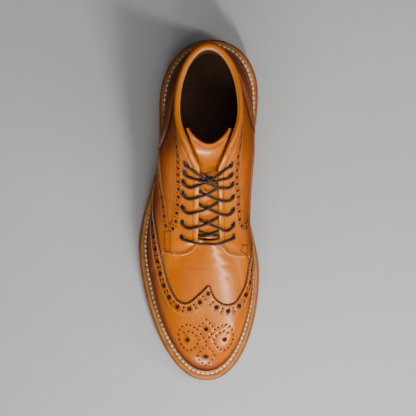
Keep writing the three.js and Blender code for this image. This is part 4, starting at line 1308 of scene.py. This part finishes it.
# %% [markdown]
# ## The collar
# The top edge is rolled: the leather folds over outside, and a pale binding closes it inside; its pale tone
# is partly a painted highlight.
# The pale edge goes on down both facings, partly a painted highlight as well. Each is a small section swept
# along the top line.

# %% The collar's roll and its binding
ROLL = [(1.55, -4.6), (2.05, -3.6), (2.3, -1.6), (2.2, 0.3), (1.7, 1.5), (0.8, 2.3), (-0.3, 2.6),
        (-1.3, 2.5), (-2.0, 2.0), (-2.05, 0.2), (1.55, 0.2)]
BINDING = [(-2.0, 0.3), (-2.0, 1.8), (-2.3, 2.0), (-2.7, 1.7), (-3.0, 1.0), (-3.05, -0.4), (-2.85, -2.6),
           (-2.06, -2.9)]
FACING_BEAD = [(-1.9, 0.1), (-1.9, 0.35), (-1.2, 0.5), (0.2, 0.5), (0.9, 0.3), (0.95, 0.1)]
FOLD = [(2.6, -6.0), (2.85, -1.6), (2.7, 0.5), (2.1, 2.0), (1.0, 2.95), (-0.3, 3.2), (-1.5, 3.05),
        (-2.2, 2.5), (-2.1, 1.9), (-1.3, 2.4), (-0.3, 2.5), (0.8, 2.2), (1.6, 1.4), (2.1, 0.2), (2.2, -1.6),
        (2.0, -5.8)]


COLLAR_END, COLLAR_TAPER = 0.36, 0.04
BEAD_WAYS, BEAD_TAPER = np.array([0.32, 0.598]), 0.012
THINNEST = 0.35
EDGE_BURNISH = 0.12
FOLD_WAY, FOLD_SEAM = 0.062, 0.054
FOLD_OUTER = 8
FOLD_HEART = (-0.3, -3.0)
SEAM_ROW = 5.6 * MM


def top_frame(u):
    p, _, climb, out = frame_at(np.stack([u, np.ones_like(u)], -1))
    return p, out, upward(climb, out)


def swept_edge(name, section, ways, finishes, stands_for=(), steps=240, taper=0.0):
    """A closed section swept along the top line between two places, counted from the lateral side."""
    u = np.linspace(*ways, steps) / 2
    p, out, up = top_frame(u)
    share = np.clip(np.minimum(u - u[0], u[-1] - u) / taper, 0, 1) if taper else np.ones(steps)
    shape = np.array(section) * MM * mix(THINNEST, 1.0, ease(share))[:, None, None]
    points = p[:, None] + out[:, None] * shape[..., :1] + up[:, None] * shape[..., 1:]
    return make_piece(name, points, swept_faces(steps, len(section)), finishes, stands_for,
                      tags={"burnish": np.full(points.shape[:2], EDGE_BURNISH)}, sharp=60)


def fold_seam(way):
    """A row of stitches over the fold's outer side, with the direction away from the fold's heart."""
    p, out, up = top_frame(np.full(60, way / 2))
    outer = np.array(FOLD[:FOLD_OUTER])
    at = np.linspace(0, FOLD_OUTER - 1.4, len(p))
    x, z = (np.interp(at, np.arange(FOLD_OUTER), outer[:, k])[:, None] for k in (0, 1))
    return p + (out * x + up * z) * MM, unit(out * (x - FOLD_HEART[0]) + up * (z - FOLD_HEART[1]))


collar_ways = (-COLLAR_END, COLLAR_END)
swept_edge("collar_roll", ROLL, collar_ways, leather, taper=COLLAR_TAPER)
swept_edge("collar_edge_binding", BINDING, collar_ways, collar_edge_and_highlight, ["collar_binding"],
           taper=COLLAR_TAPER)
swept_edge("facing_edge_lateral", FACING_BEAD, BEAD_WAYS, cut_edge_and_highlight, taper=BEAD_TAPER)
swept_edge("facing_edge_medial", FACING_BEAD, 2 - BEAD_WAYS[::-1], cut_edge_and_highlight, taper=BEAD_TAPER)
swept_edge("back_fold_leather", FOLD, (-FOLD_WAY, FOLD_WAY), leather, steps=40)
collar_line = np.linspace((-0.19, 1.0), (0.19, 1.0), 200)
collar_in = toward(collar_line, (0.0, 0.6))
sew("collar", shift(collar_line, collar_in * SEAM_ROW), STITCH_OFF + 0.1 * MM, FINE_PITCH)
make_threads("collar", "collar_stitches", thread_light)
for end in (-1, 1):
    sew_points("fold", *fold_seam(end * FOLD_SEAM), pitch=1.8 * MM, radius=0.32 * MM)
make_threads("fold", "back_fold_stitches", thread_dark)

# %% [markdown]
# ## The tongue
# A soft sheet under both facings, arched over the instep.
# Its top edge dips in the middle and has one row of stitches.
# It is worked out from the wall: under each facing it follows the wall, and a curve bridges the throat.

# %% The tongue's shape
TONGUE_TOP = 0.27
TONGUE_DIP = 0.046
TONGUE_ARCH = (0.3, 0.42)
TONGUE_SINK = 2.4 * MM
TONGUE_SUNK = (0.4, 0.5)
TONGUE_BRIDGE = 0.3
TONGUE_SPREAD = 0.82
TONGUE = 1.8 * MM
TONGUE_GAP = 1 * MM
TONGUE_ROWS, TONGUE_COLUMNS = 70, 61
TONGUE_END = THROAT_WAY + 0.012
TONGUE_INNER_V = 0.88
TONGUE_DIP_ROUND = 0.65
TONGUE_BURNISH = 0.15
TONGUE_SEAM = 0.014


def bridge_share(t):
    """How far across the throat a point lies, 0 under the lateral facing and 1 under the medial one."""
    return np.clip((t - TONGUE_BRIDGE) / (1 - 2 * TONGUE_BRIDGE), 0, 1)


def tongue_point(way, t, off):
    """t goes from the outer edge under the lateral facing (0) to the one under the medial facing (1)."""
    way, t = np.broadcast_arrays(np.asarray(way, float), np.asarray(t, float))
    off = off - TONGUE_SINK * (1 - ease((way - TONGUE_SUNK[0]) / (TONGUE_SUNK[1] - TONGUE_SUNK[0])))
    share = np.clip(np.minimum(t, 1 - t) / TONGUE_BRIDGE, 0, 1)
    v = mix(TONGUE_SPREAD, 1.0, share)
    edges = {side: wall(round_of(side, way), np.ones_like(way), off) for side in OUTLINE}
    inner = {side: wall(round_of(side, way), np.full_like(way, TONGUE_INNER_V), off) for side in OUTLINE}
    pulls = {side: unit(edges[side] - inner[side]) for side in OUTLINE}
    across = edges["medial"] - edges["lateral"]
    slope = ease((way - TONGUE_ARCH[0]) / (TONGUE_ARCH[1] - TONGUE_ARCH[0]))[..., None]
    reach = np.linalg.norm(across, axis=-1, keepdims=True) / 3
    first, last = (edges[side] + reach * unit(mix(-OUTLINE[side]["side"] * unit(across), pulls[side], slope))
                   for side in OUTLINE)
    bridge = bezier(edges["lateral"], first, last, edges["medial"], bridge_share(t))
    under = {side: wall(round_of(side, way), v, off) for side in OUTLINE}
    is_left, is_right = (t < TONGUE_BRIDGE)[..., None], (t > 1 - TONGUE_BRIDGE)[..., None]
    return np.where(is_left, under["lateral"], np.where(is_right, under["medial"], bridge))


def tongue_start(t):
    """Where the tongue's top edge lies: highest at the facings and dipping between them."""
    return TONGUE_TOP + TONGUE_DIP * (1 - (2 * bridge_share(t) - 1) ** 2) ** TONGUE_DIP_ROUND


print("the tongue's top edge starts at", tongue_start(np.array([0.0, 0.5])), "of the way to the toe")


# %% The tongue
def tongue_rows(off):
    t = np.linspace(0, 1, TONGUE_COLUMNS)[None]
    s = np.linspace(0, 1, TONGUE_ROWS)[:, None]
    return tongue_point(mix(tongue_start(t), TONGUE_END, s), t, off)


def slab(upper, lower):
    """The points and faces of a slab between two grids of points."""
    rows, columns = upper.shape[:2]
    count = rows * columns
    faces = [*grid_faces(rows, columns).tolist(), *(grid_faces(rows, columns)[:, ::-1] + count).tolist()]
    at = np.arange(count).reshape(rows, columns)
    rim = [*at[0], *at[1:, -1], *at[-1, -2::-1], *at[-2:0:-1, 0]]
    faces += [[a, a + count, b + count, b] for a, b in zip(rim, rim[1:] + rim[:1])]
    return np.vstack([upper.reshape(-1, 3), lower.reshape(-1, 3)]), faces


tongue_outer = -WALL - TONGUE_GAP
tongue_points, tongue_faces = slab(tongue_rows(tongue_outer), tongue_rows(tongue_outer - TONGUE))
make_piece("tongue_leather", tongue_points, tongue_faces, leather, ["tongue"],
           tags={"burnish": np.full(len(tongue_points), TONGUE_BURNISH)}, sharp=50)
tongue_share = np.linspace(TONGUE_BRIDGE, 1 - TONGUE_BRIDGE, 80)
tongue_row = tongue_start(tongue_share) + TONGUE_SEAM
row_points = tongue_point(tongue_row, tongue_share, tongue_outer + 0.1 * MM)
sew_points("tongue", row_points, row_points - tongue_point(tongue_row, tongue_share, tongue_outer - MM))
make_threads("tongue", "tongue_stitches", thread_dark)

# %% [markdown]
# ## The sole unit
# From the top: a storm welt with a raised lip and chunky cream stitches in its channel, a leather midsole,
# a rubber outsole, and a heel of three leather lifts over a rubber top piece.
# Each is a section swept round the outline, so that grooves and rounded rims stay even all the way.

# %% Sole finishes
def layered(name, light, dark, layers, rough):
    """A finish of packed leather seen at its edge: fine level lines, waxed and a little uneven."""
    def nodes(wire):
        place = wire.node("ShaderNodeTexCoord", out="Object")
        flat = wire.node("ShaderNodeMapping", {}, {"Vector": place, "Scale": (12, 12, layers)})
        sockets = {"Vector": flat, "Scale": 1.0, "Detail": 4, "Roughness": 0.6}
        lines = wire.node("ShaderNodeTexNoise", {}, sockets)
        cloud = noise(wire, 60, 3)
        tone = (lines * 0.6 + cloud * 0.4).limit(0.3, 0.7)
        return {"Base Color": tone.blend((*dark, 1), (*light, 1)), "Roughness": rough + cloud * 0.15,
                "Normal": bump(wire, lines, 0.12 * MM, 0.7)}
    return finish(name, nodes, **WAXED)


WAXED = dict(Coat_Weight=0.1, Coat_Roughness=0.25, Specular_Tint=WARM_SHEEN)
welt_finish = plain("welt leather, waxed", (0.62, 0.24, 0.05), (0.42, 0.13, 0.022), 160, 0.36, **WAXED)
edge_finish = layered("sole edge, waxed", (0.32, 0.1, 0.02), (0.16, 0.045, 0.009), 1800, 0.35)
rim_finish = layered("outsole rim", (0.52, 0.2, 0.04), (0.3, 0.1, 0.02), 1500, 0.4)
rubber = plain("brown rubber", (0.1, 0.045, 0.022), (0.06, 0.026, 0.013), 300, 0.65)
insole_finish = plain("insole leather", (0.16, 0.06, 0.02), (0.1, 0.035, 0.012), 90, 0.6)
print("finishes with those of the sole:", len(bpy.data.materials))

# %% [markdown]
# The rings of a layer are listed in millimetres: how far in from the sole's edge and how far above its base.
# They go from the middle of the underside round the rim to the middle of the top.

# %% Sweeping round the sole
SOLE_STEPS = 480
round_sole = np.arange(SOLE_STEPS) / SOLE_STEPS
OUTSOLE_RINGS = [(8, 0), (5.2, 0), (4.9, 0.5), (4.3, 0.5), (4.0, 0), (0.7, 0), (0.1, 0.5), (0, 1.2),
                 (0, 2.3), (0.35, 2.6), (0.35, 2.9), (0, 3.2), (0, 4.8), (0.25, 5.25), (0.6, 5.5), (6, 5.5)]
MIDSOLE_RINGS = [(6, 0.3), (1.2, 0.3), (0.8, 0.6), (0.8, 1.9), (1.1, 2.2), (0.8, 2.5), (0.8, 4.0),
                 (1.1, 4.4), (1.5, 4.5)]
INSOLE_RINGS = [(3, 0.3), (0, 0.3), (0, 2.7), (0.3, 3.0), (3, 3.0)]
MIDSOLE_TOP = (2.3, 4.5)


def sole_point(u, inset, rise):
    p = sole_at(u, inset, rise)
    p[..., 0] += SHIFT
    return p


def sole_rings(base, rings):
    return np.stack([sole_point(round_sole, np.broadcast_to(inset, SOLE_STEPS) * MM, base + rise * MM)
                     for inset, rise in rings])


def disc_faces(steps, rings):
    """Faces of a disc whose rings go from the middle of one side, round the rim, to the other side."""
    faces = grid_faces(rings, steps, wrap_columns=True).tolist()
    for ring, up in ((0, False), (rings - 1, True)):
        at = ring * steps + np.arange(steps)
        for i in range(steps // 2):
            quad = list(dict.fromkeys([at[i], at[i + 1], at[-i - 1], at[-i % steps]]))
            faces.append(quad if up else quad[::-1])
    return faces


def sole_layer(name, base, rings, finishes, stands_for):
    return make_piece(name, sole_rings(base, rings), disc_faces(SOLE_STEPS, len(rings)), finishes,
                      stands_for, sharp=50)


foot_inset = feather(round_sole) / MM
insole_inset = foot_inset + (WALL + GAP) / MM
sole_layer("outsole_rubber", 0, OUTSOLE_RINGS, rim_finish, ["outsole"])
sole_layer("midsole_leather", OUTSOLE, [*MIDSOLE_RINGS, (foot_inset + MIDSOLE_TOP[0], MIDSOLE_TOP[1])],
           edge_finish, ["midsole"])
sole_layer("insole_leather", BED, [(insole_inset + w, z) for w, z in INSOLE_RINGS],
           insole_finish, ["insole"])

# %% [markdown]
# The welt's section is listed in two parts, in millimetres: the lip from the wall outward, counted from the
# lip's inner face, and the flat part with its rim, counted from the sole's edge.

# %% The welt
WELT = 3 * MM
WELT_LIP = 2 * MM
WELT_INSET = 2.4
WELT_FOOT = [(0, 0.3), (0, 2.4)]
WELT_LIP_ROWS = [(0, 4.7), (0.3, 5.1), (1.1, 5.25), (1.9, 4.9), (2.4, 4.1), (2.7, 3.0), (3.0, 2.6),
                 (4.2, 2.6), (4.6, 3.0)]
WELT_RIM = [(2.9, 3.1), (2.5, 2.9), (2.4, 2.5), (2.4, 0.5), (2.6, 0.3)]
WELT_SEAM = dict(from_lip=3.5, from_edge=3.2, rise=2.95 * MM)
WELT_STITCH = dict(pitch=4.3 * MM, radius=0.92 * MM, share=0.8)


def beside_wall(u, rise):
    """How far in from the sole's edge the wall's outer face lies, at some rise above the foot line."""
    levels = np.linspace(0, 0.2, 81)
    p = wall(u[:, None], levels[None], GAP)
    foot = middle(u, np.zeros_like(u))[:, 2]
    height = p[..., 2] - foot[:, None]
    at = np.array([np.interp(rise, h, levels) for h in height])
    point = wall(u, at, GAP)
    edge = sole_point(u, 0, 0)
    return ((edge - point)[:, :2] * outward(u)[:, :2]).sum(-1) / MM


lip = beside_wall(round_sole, WELT + WELT_LIP)
low_lip = beside_wall(round_sole, WELT / 2)
welt_section = [(low_lip, z) for _, z in WELT_FOOT] + [(lip - w, z) for w, z in WELT_LIP_ROWS] + WELT_RIM
welt_rings = sole_rings(BED, [(np.maximum(w, WELT_INSET), z) for w, z in welt_section])
make_piece("welt_leather", welt_rings, grid_faces(*welt_rings.shape[:2], True, True), welt_finish,
           ["welt"], sharp=70)
seam_inset = np.maximum(lip - WELT_SEAM["from_lip"], WELT_SEAM["from_edge"]) * MM
welt_seam = sole_point(round_sole, seam_inset, BED + WELT_SEAM["rise"])
welt_seam = np.vstack([welt_seam, welt_seam[:1]])
sew_points("welt", welt_seam, np.tile([0.0, 0.0, 1.0], (len(welt_seam), 1)), **WELT_STITCH)
make_threads("welt", "welt_stitches", thread_cream)

# %% The heel
TOP_PIECE = 6.5 * MM
HEEL_LIFTS = 3
HEEL_STEPS, BREAST_STEPS = 60, 14
BREAST_CURVE = 1.2 * MM
HEEL_SOFT = 0.35 * MM
TOP_PIECE_INSET, LIFT_INSET, LIFT_STEP = 1.6 * MM, 1.2 * MM, 0.4 * MM


def heel_ring(inset, z):
    """The heel's outline, with a shallow curve across its breast."""
    breast = BREAST * SOLE_LENGTH
    back = SOLE_LENGTH / 2
    rim = []
    for name in ("medial", "lateral"):
        half = OUTLINE[name]
        grown = breast + (back - breast) * np.sin(np.linspace(0, np.pi / 2, HEEL_STEPS))
        y = breast + (grown - breast) * (back - inset - breast) / (back - breast)
        x = sole_edge(half, np.minimum(grown, back)) - half["side"] * inset
        run = np.stack([x + SHIFT, y, np.full(HEEL_STEPS, z)], -1)
        rim.append(run if name == "medial" else run[::-1][1:])
    front = np.linspace(rim[1][-1], rim[0][0], BREAST_STEPS)[1:-1]
    front[:, 1] += inset + BREAST_CURVE * np.sin(np.linspace(0, np.pi, len(front)))
    return np.vstack([*rim, front])


def heel_layer(name, low, high, inset, finishes, stands_for):
    soft = HEEL_SOFT
    levels = [(inset + soft, low), (inset, low + soft), (inset, high - soft), (inset + soft, high)]
    rings = np.stack([heel_ring(w, z) for w, z in levels])
    return make_piece(name, rings, swept_faces(*rings.shape[:2]), finishes, stands_for, sharp=35)


heel_layer("heel_top_piece_rubber", 0, TOP_PIECE, TOP_PIECE_INSET, rubber, ["heel_top_piece"])
lift_height = (HEEL_HEIGHT - TOP_PIECE) / HEEL_LIFTS
for k in range(HEEL_LIFTS):
    low = TOP_PIECE + k * lift_height
    heel_layer(f"heel_lift_{k + 1}_leather", low, low + lift_height, LIFT_INSET - k * LIFT_STEP, edge_finish,
               [f"heel_lift_{k + 1}"])

# %% [markdown]
# ## Eyelets
# Fourteen small nickel eyelets. Each is a section turned round its own axis, square to the leather,
# with its flange on the facing and its barrel through it.

# %% Eyelets
EYELET_SECTION = [(1.5, -2.2), (1.45, -1.0), (1.45, 0.9), (1.5, 1.6), (1.7, 1.9), (2.0, 1.9), (2.25, 1.75),
                  (2.3, 1.6), (1.95, 1.55), (1.85, 1.2), (1.85, -2.2)]
EYELET_STEPS = 24


def nickel_nodes(wire):
    cloud = noise(wire, 700, 3)
    return {"Base Color": cloud.limit(0.3, 0.7).blend((0.08, 0.08, 0.085, 1), (0.25, 0.25, 0.26, 1)),
            "Roughness": 0.22 + cloud * 0.2}


nickel = finish("darkened nickel", nickel_nodes, Metallic=1.0)


def eyelet_frame(side, way, v):
    """An eyelet's place on the wall and its outward, upward and along directions."""
    p, along, climb, out = (rows[0] for rows in frame_at(on_side(side, [(way, v)])))
    return p, out, upward(climb, out), along


def eyelet(side, number, way, v):
    p, out, up, _ = eyelet_frame(side, way, v)
    third = np.cross(out, up)
    angle = circle(EYELET_STEPS)[:, None]
    spokes = up * np.cos(angle) + third * np.sin(angle)
    section = np.array(EYELET_SECTION) * MM
    points = p + spokes[:, None] * section[None, :, :1] + out * section[None, :, 1:]
    name = f"eyelet_{side}_{number}"
    faces = grid_faces(EYELET_STEPS, len(section), True, True)
    return make_piece(f"{name}_nickel", points, faces, nickel, [name], sharp=60)


for side, places in EYELETS.items():
    for k, (way, v) in enumerate(places):
        eyelet(side, k + 1, way, v)

# %% [markdown]
# ## The lace
# A thin round waxed lace: a straight bar over the lowest pair, crossings up the throat and a small knot.
# Each stretch comes up through its eyelet, lies over its own facing, crosses the tongue and goes under the
# other facing to the next eyelet. A tube along a curve through a few chosen points follows it.

# %% The cord
LACE = 2.5 * MM
LACE_SIDES = 12
LACE_STEPS = 12
ANY_WAY = [0.3, 0.5, 0.8]


def lace_nodes(wire):
    place = wire.node("ShaderNodeTexCoord", out="Object")
    weave = wire.node("ShaderNodeTexVoronoi", {}, {"Vector": place, "Scale": 1500})
    cloud = noise(wire, 400, 3)
    tone = (weave * 0.6 + cloud * 0.5).limit(0.2, 0.8)
    return {"Base Color": tone.blend((0.012, 0.005, 0.002, 1), (0.05, 0.024, 0.012, 1)),
            "Roughness": 0.5 + cloud * 0.15, "Normal": bump(wire, weave, 0.25 * MM, 0.8)}


lace_finish = finish("waxed lace", lace_nodes, Specular_IOR_Level=0.35)


def tube(points, radius):
    """Rings of points round a curve, turned as little as possible from one to the next."""
    run = unit(np.gradient(points, axis=0))
    side = unit(np.cross(run[0], ANY_WAY))
    angle = circle(LACE_SIDES)[:, None]
    rings = []
    for p, r in zip(points, run):
        side = unit(side - r * (side @ r))
        rings.append(p + radius * (side * np.cos(angle) + np.cross(r, side) * np.sin(angle)))
    return np.vstack(rings), swept_faces(len(points), LACE_SIDES)


def tubes(name, curves, stands_for=()):
    points, faces, start = [], [], 0
    for curve in curves:
        p, f = tube(curve, LACE / 2)
        points.append(p)
        faces += [[i + start for i in face] for face in f]
        start += len(p)
    return make_piece(name, np.vstack(points), faces, lace_finish, stands_for, sharp=60)


print("the lace is", LACE / MM, "mm thick")

# %% [markdown]
# The way of each stretch is listed, in rows of three numbers.
# Between the facings they are the share across (1 at the lace's own facing, -1 at the other one) and
# millimetres along and up. Over a facing they are millimetres from the eyelet inward, toward the toe and up.

# %% The lace
LACE_LIFT = GAP + OVERLAY + LACE / 2 + 0.25 * MM
LIFT = LACE_LIFT / MM
PAIRS = len(EYELETS["lateral"])
EDGE_WAYS = np.linspace(0.62, 0.33, 160)
THROAT_UP = np.array([0, -0.35, 0.94])
EYELET_RISE = [(0, 0, -2.6), (0, 0, 0.8), (0.5, 1.1, 3.2)]
STRAND_OVER = [*EYELET_RISE, (3.6, 4.4, LIFT), (8.5, 5.0, LIFT)]
STRAND_TOP = {"lateral": 3.1, "medial": 0.9}
HIDDEN_TOP = {"lateral": 1.9, "medial": -0.6}
facing_edge = {side: wall(round_of(side, EDGE_WAYS), 1.0) for side in OUTLINE}


def edge_at(side, y):
    """The facing's edge at a place along the boot."""
    edge = facing_edge[side]
    x, z = (np.interp(y, edge[:, 1], edge[:, k]) for k in (0, 2))
    return np.array([x, y, z])


def over_gap(side, y, rows):
    """Points between the facings, at the rows of a stretch that comes from one side's eyelet at y."""
    points = []
    for share, along, up in rows:
        edges = [edge_at(name, y + along * MM) for name in OUTLINE]
        t = (OUTLINE[side]["side"] * share + 1) / 2
        points.append(mix(*edges, t) + THROAT_UP * up * MM)
    return points


def over_facing(side, k, rows):
    """Points over a facing, at rows counted from an eyelet."""
    place = on_side(side, EYELETS[side][k:k + 1])
    _, _, up, along = eyelet_frame(side, *EYELETS[side][k])
    toe = unit(along) * -OUTLINE[side]["side"]
    points = []
    for inward, to_toe, off in rows:
        moved = to_chart(place, (up * inward + toe * to_toe)[None] * MM)
        points.append(wall(moved[:, 0], moved[:, 1], off * MM)[0])
    return points


def eyelet_y(side, k):
    return over_facing(side, k, [(0, 0, 0)])[0][1]


def strand(side, k):
    """From one eyelet, over its facing and the tongue, to under the other facing."""
    rows = [(0.95, -3.7, LIFT - 0.2), (0.1, -0.9, STRAND_TOP[side]), (-0.62, 2.0, 0.2), (-1.02, 3.6, -2.9),
            (-1.4, 5.2, -3.3)]
    points = over_facing(side, k, STRAND_OVER) + over_gap(side, eyelet_y(side, k), rows)
    return smooth_line(points, LACE_STEPS)


def hidden_cross(side):
    """The lowest crossing, which comes from under both facings."""
    rows = [(1.4, -1.5, -3.3), (1.02, -0.6, -2.9), (0.1, 1.4, HIDDEN_TOP[side]), (-1.02, 4.4, -2.9),
            (-1.4, 5.4, -3.3)]
    return smooth_line(over_gap(side, eyelet_y(side, 0), rows), LACE_STEPS)


BAR_OVER = [(-0.9, -5.3, LIFT), (0, -6.0, LIFT - 0.6), (0.9, -5.6, LIFT)]
bar = smooth_line([
    *over_facing("lateral", 0, [*EYELET_RISE, (4, 3.6, LIFT)]),
    *over_gap("medial", eyelet_y("lateral", 0), BAR_OVER),
    *over_facing("medial", 0, [(4, 3.2, LIFT), *EYELET_RISE[::-1]]),
], LACE_STEPS)
tubes("lace_bar_cord", [bar], ["lace_bar"])
tubes("lace_crossing_low", [hidden_cross("lateral"), hidden_cross("medial")])
for k in range(1, PAIRS - 2):
    tubes(f"lace_crossing_{k}_cord", [strand("lateral", k), strand("medial", k)], [f"lace_crossing_{k}"])

# %% The knot
KNOT_Y = 28 * MM
KNOT_LIFT = 4.6
KNOT_ROW, TIE_ROW, TIE_RISE = -1.3, 1.2, 0.6
KNOT_LEAD = 0.85
WRAPS = [dict(at=(-1.1, 0, 0.2), axis=(1, 0.25, 0), radius=2.8 * MM, lean=0.5 * MM),
         dict(at=(1.2, 0, 0.2), axis=(1, -0.3, 0), radius=2.6 * MM, lean=0.4 * MM)]
WRAP_TURN, WRAP_STEPS = 1.96 * np.pi, 40
knot = over_gap("medial", KNOT_Y, [(0, 0, KNOT_LIFT)])[0]


def beside_knot(*move):
    return knot + np.array(move) * MM


def to_knot(side, k, row, rise):
    """From an eyelet to the knot. row and rise are millimetres from its middle along the boot and up."""
    sign = OUTLINE[side]["side"]
    y = mix(eyelet_y(side, k), KNOT_Y + 1.6 * row * MM, KNOT_LEAD)
    return smooth_line([*over_facing(side, k, [*EYELET_RISE, (4, 4.2, LIFT)]),
                        *over_gap(side, y, [(0.98, 0, LIFT + rise)]),
                        beside_knot(sign * 3.4, row, rise / 2), beside_knot(sign * 0.5, row, 0)], LACE_STEPS)


def wrap_ring(at, axis, radius, lean):
    """One turn of the knot, round an axis."""
    axis = unit(np.array(axis, float))
    first = unit(np.cross(axis, [0, 0.2, 1]))
    second = np.cross(axis, first)
    angle = np.linspace(0, WRAP_TURN, WRAP_STEPS)[:, None]
    turn = radius * (first * np.cos(angle) + second * np.sin(angle))
    return beside_knot(*at) + turn + axis * lean * angle / np.pi


last_crossing = [to_knot(side, PAIRS - 2, KNOT_ROW, 0) for side in OUTLINE]
tubes("lace_crossing_5_cord", last_crossing, ["lace_crossing_5"])
ends = [to_knot(side, PAIRS - 1, TIE_ROW, TIE_RISE) for side in OUTLINE]
tie = np.vstack([ends[0][:-1], beside_knot(0, TIE_ROW, 0.4), ends[1][::-1][1:]])
tie_piece = tubes("lace_tie", [tie], ["lace_knot"])
tubes("lace_knot_wraps", [wrap_ring(**wrap) for wrap in WRAPS])

# %% [markdown]
# ## Floor and light
# The boot stands on a plain pale floor. Strip lights on its inner side and over the toe, and a wide one
# beyond the toe, give the long soft highlights of the photograph.
# A small light over the vamp and a large dim one above keep the rest readable.

# %% The floor
FLOOR = 3
floor_mesh = bpy.data.meshes.new("floor")
floor_corners = [(-FLOOR, -FLOOR, 0), (FLOOR, -FLOOR, 0), (FLOOR, FLOOR, 0), (-FLOOR, FLOOR, 0)]
floor_mesh.from_pydata(floor_corners, [], [(0, 1, 2, 3)])
floor = bpy.data.objects.new("floor", floor_mesh)
bpy.context.collection.objects.link(floor)
floor_mesh.materials.append(plain("pale floor", (0.56, 0.56, 0.56), (0.53, 0.53, 0.53), 3, 0.8, depth=0.0))
print("floor:", 2 * FLOOR, "m wide")

# %% The lights
LIGHTS = [
    dict(name="strip at the inner side", at=(0.46, -0.12, 0.68), size=(0.08, 0.62), power=2.2),
    dict(name="strip over the toe", at=(0.27, -0.52, 0.68), size=(0.05, 0.36), power=5),
    dict(name="wide light beyond the toe", at=(-0.12, -1.0, 0.2), size=(0.34, 0.1), power=8),
    dict(name="small light over the vamp", at=(-0.08, -0.27, 0.75), size=(0.34, 0.1), power=1.2),
    dict(name="large light above", at=(0.35, 0.1, 1.9), size=(1.0, 1.0), power=4),
]
AIM = Vector((0, 0, 0.06))
WORLD, WORLD_STRENGTH = (0.9, 0.93, 1.0, 1), 0.06
for lamp in LIGHTS:
    data = bpy.data.lights.new(lamp["name"], "AREA")
    data.shape = "RECTANGLE"
    data.size, data.size_y = lamp["size"]
    data.energy = lamp["power"]
    light = bpy.data.objects.new(lamp["name"], data)
    light.location = lamp["at"]
    light.rotation_euler = (AIM - light.location).to_track_quat("-Z", "Y").to_euler()
    bpy.context.collection.objects.link(light)
world = bpy.data.worlds.new("studio")
world.use_nodes = True
world.node_tree.nodes["Background"].inputs["Color"].default_value = WORLD
world.node_tree.nodes["Background"].inputs["Strength"].default_value = WORLD_STRENGTH
bpy.context.scene.world = world
print("lights:", len(LIGHTS))
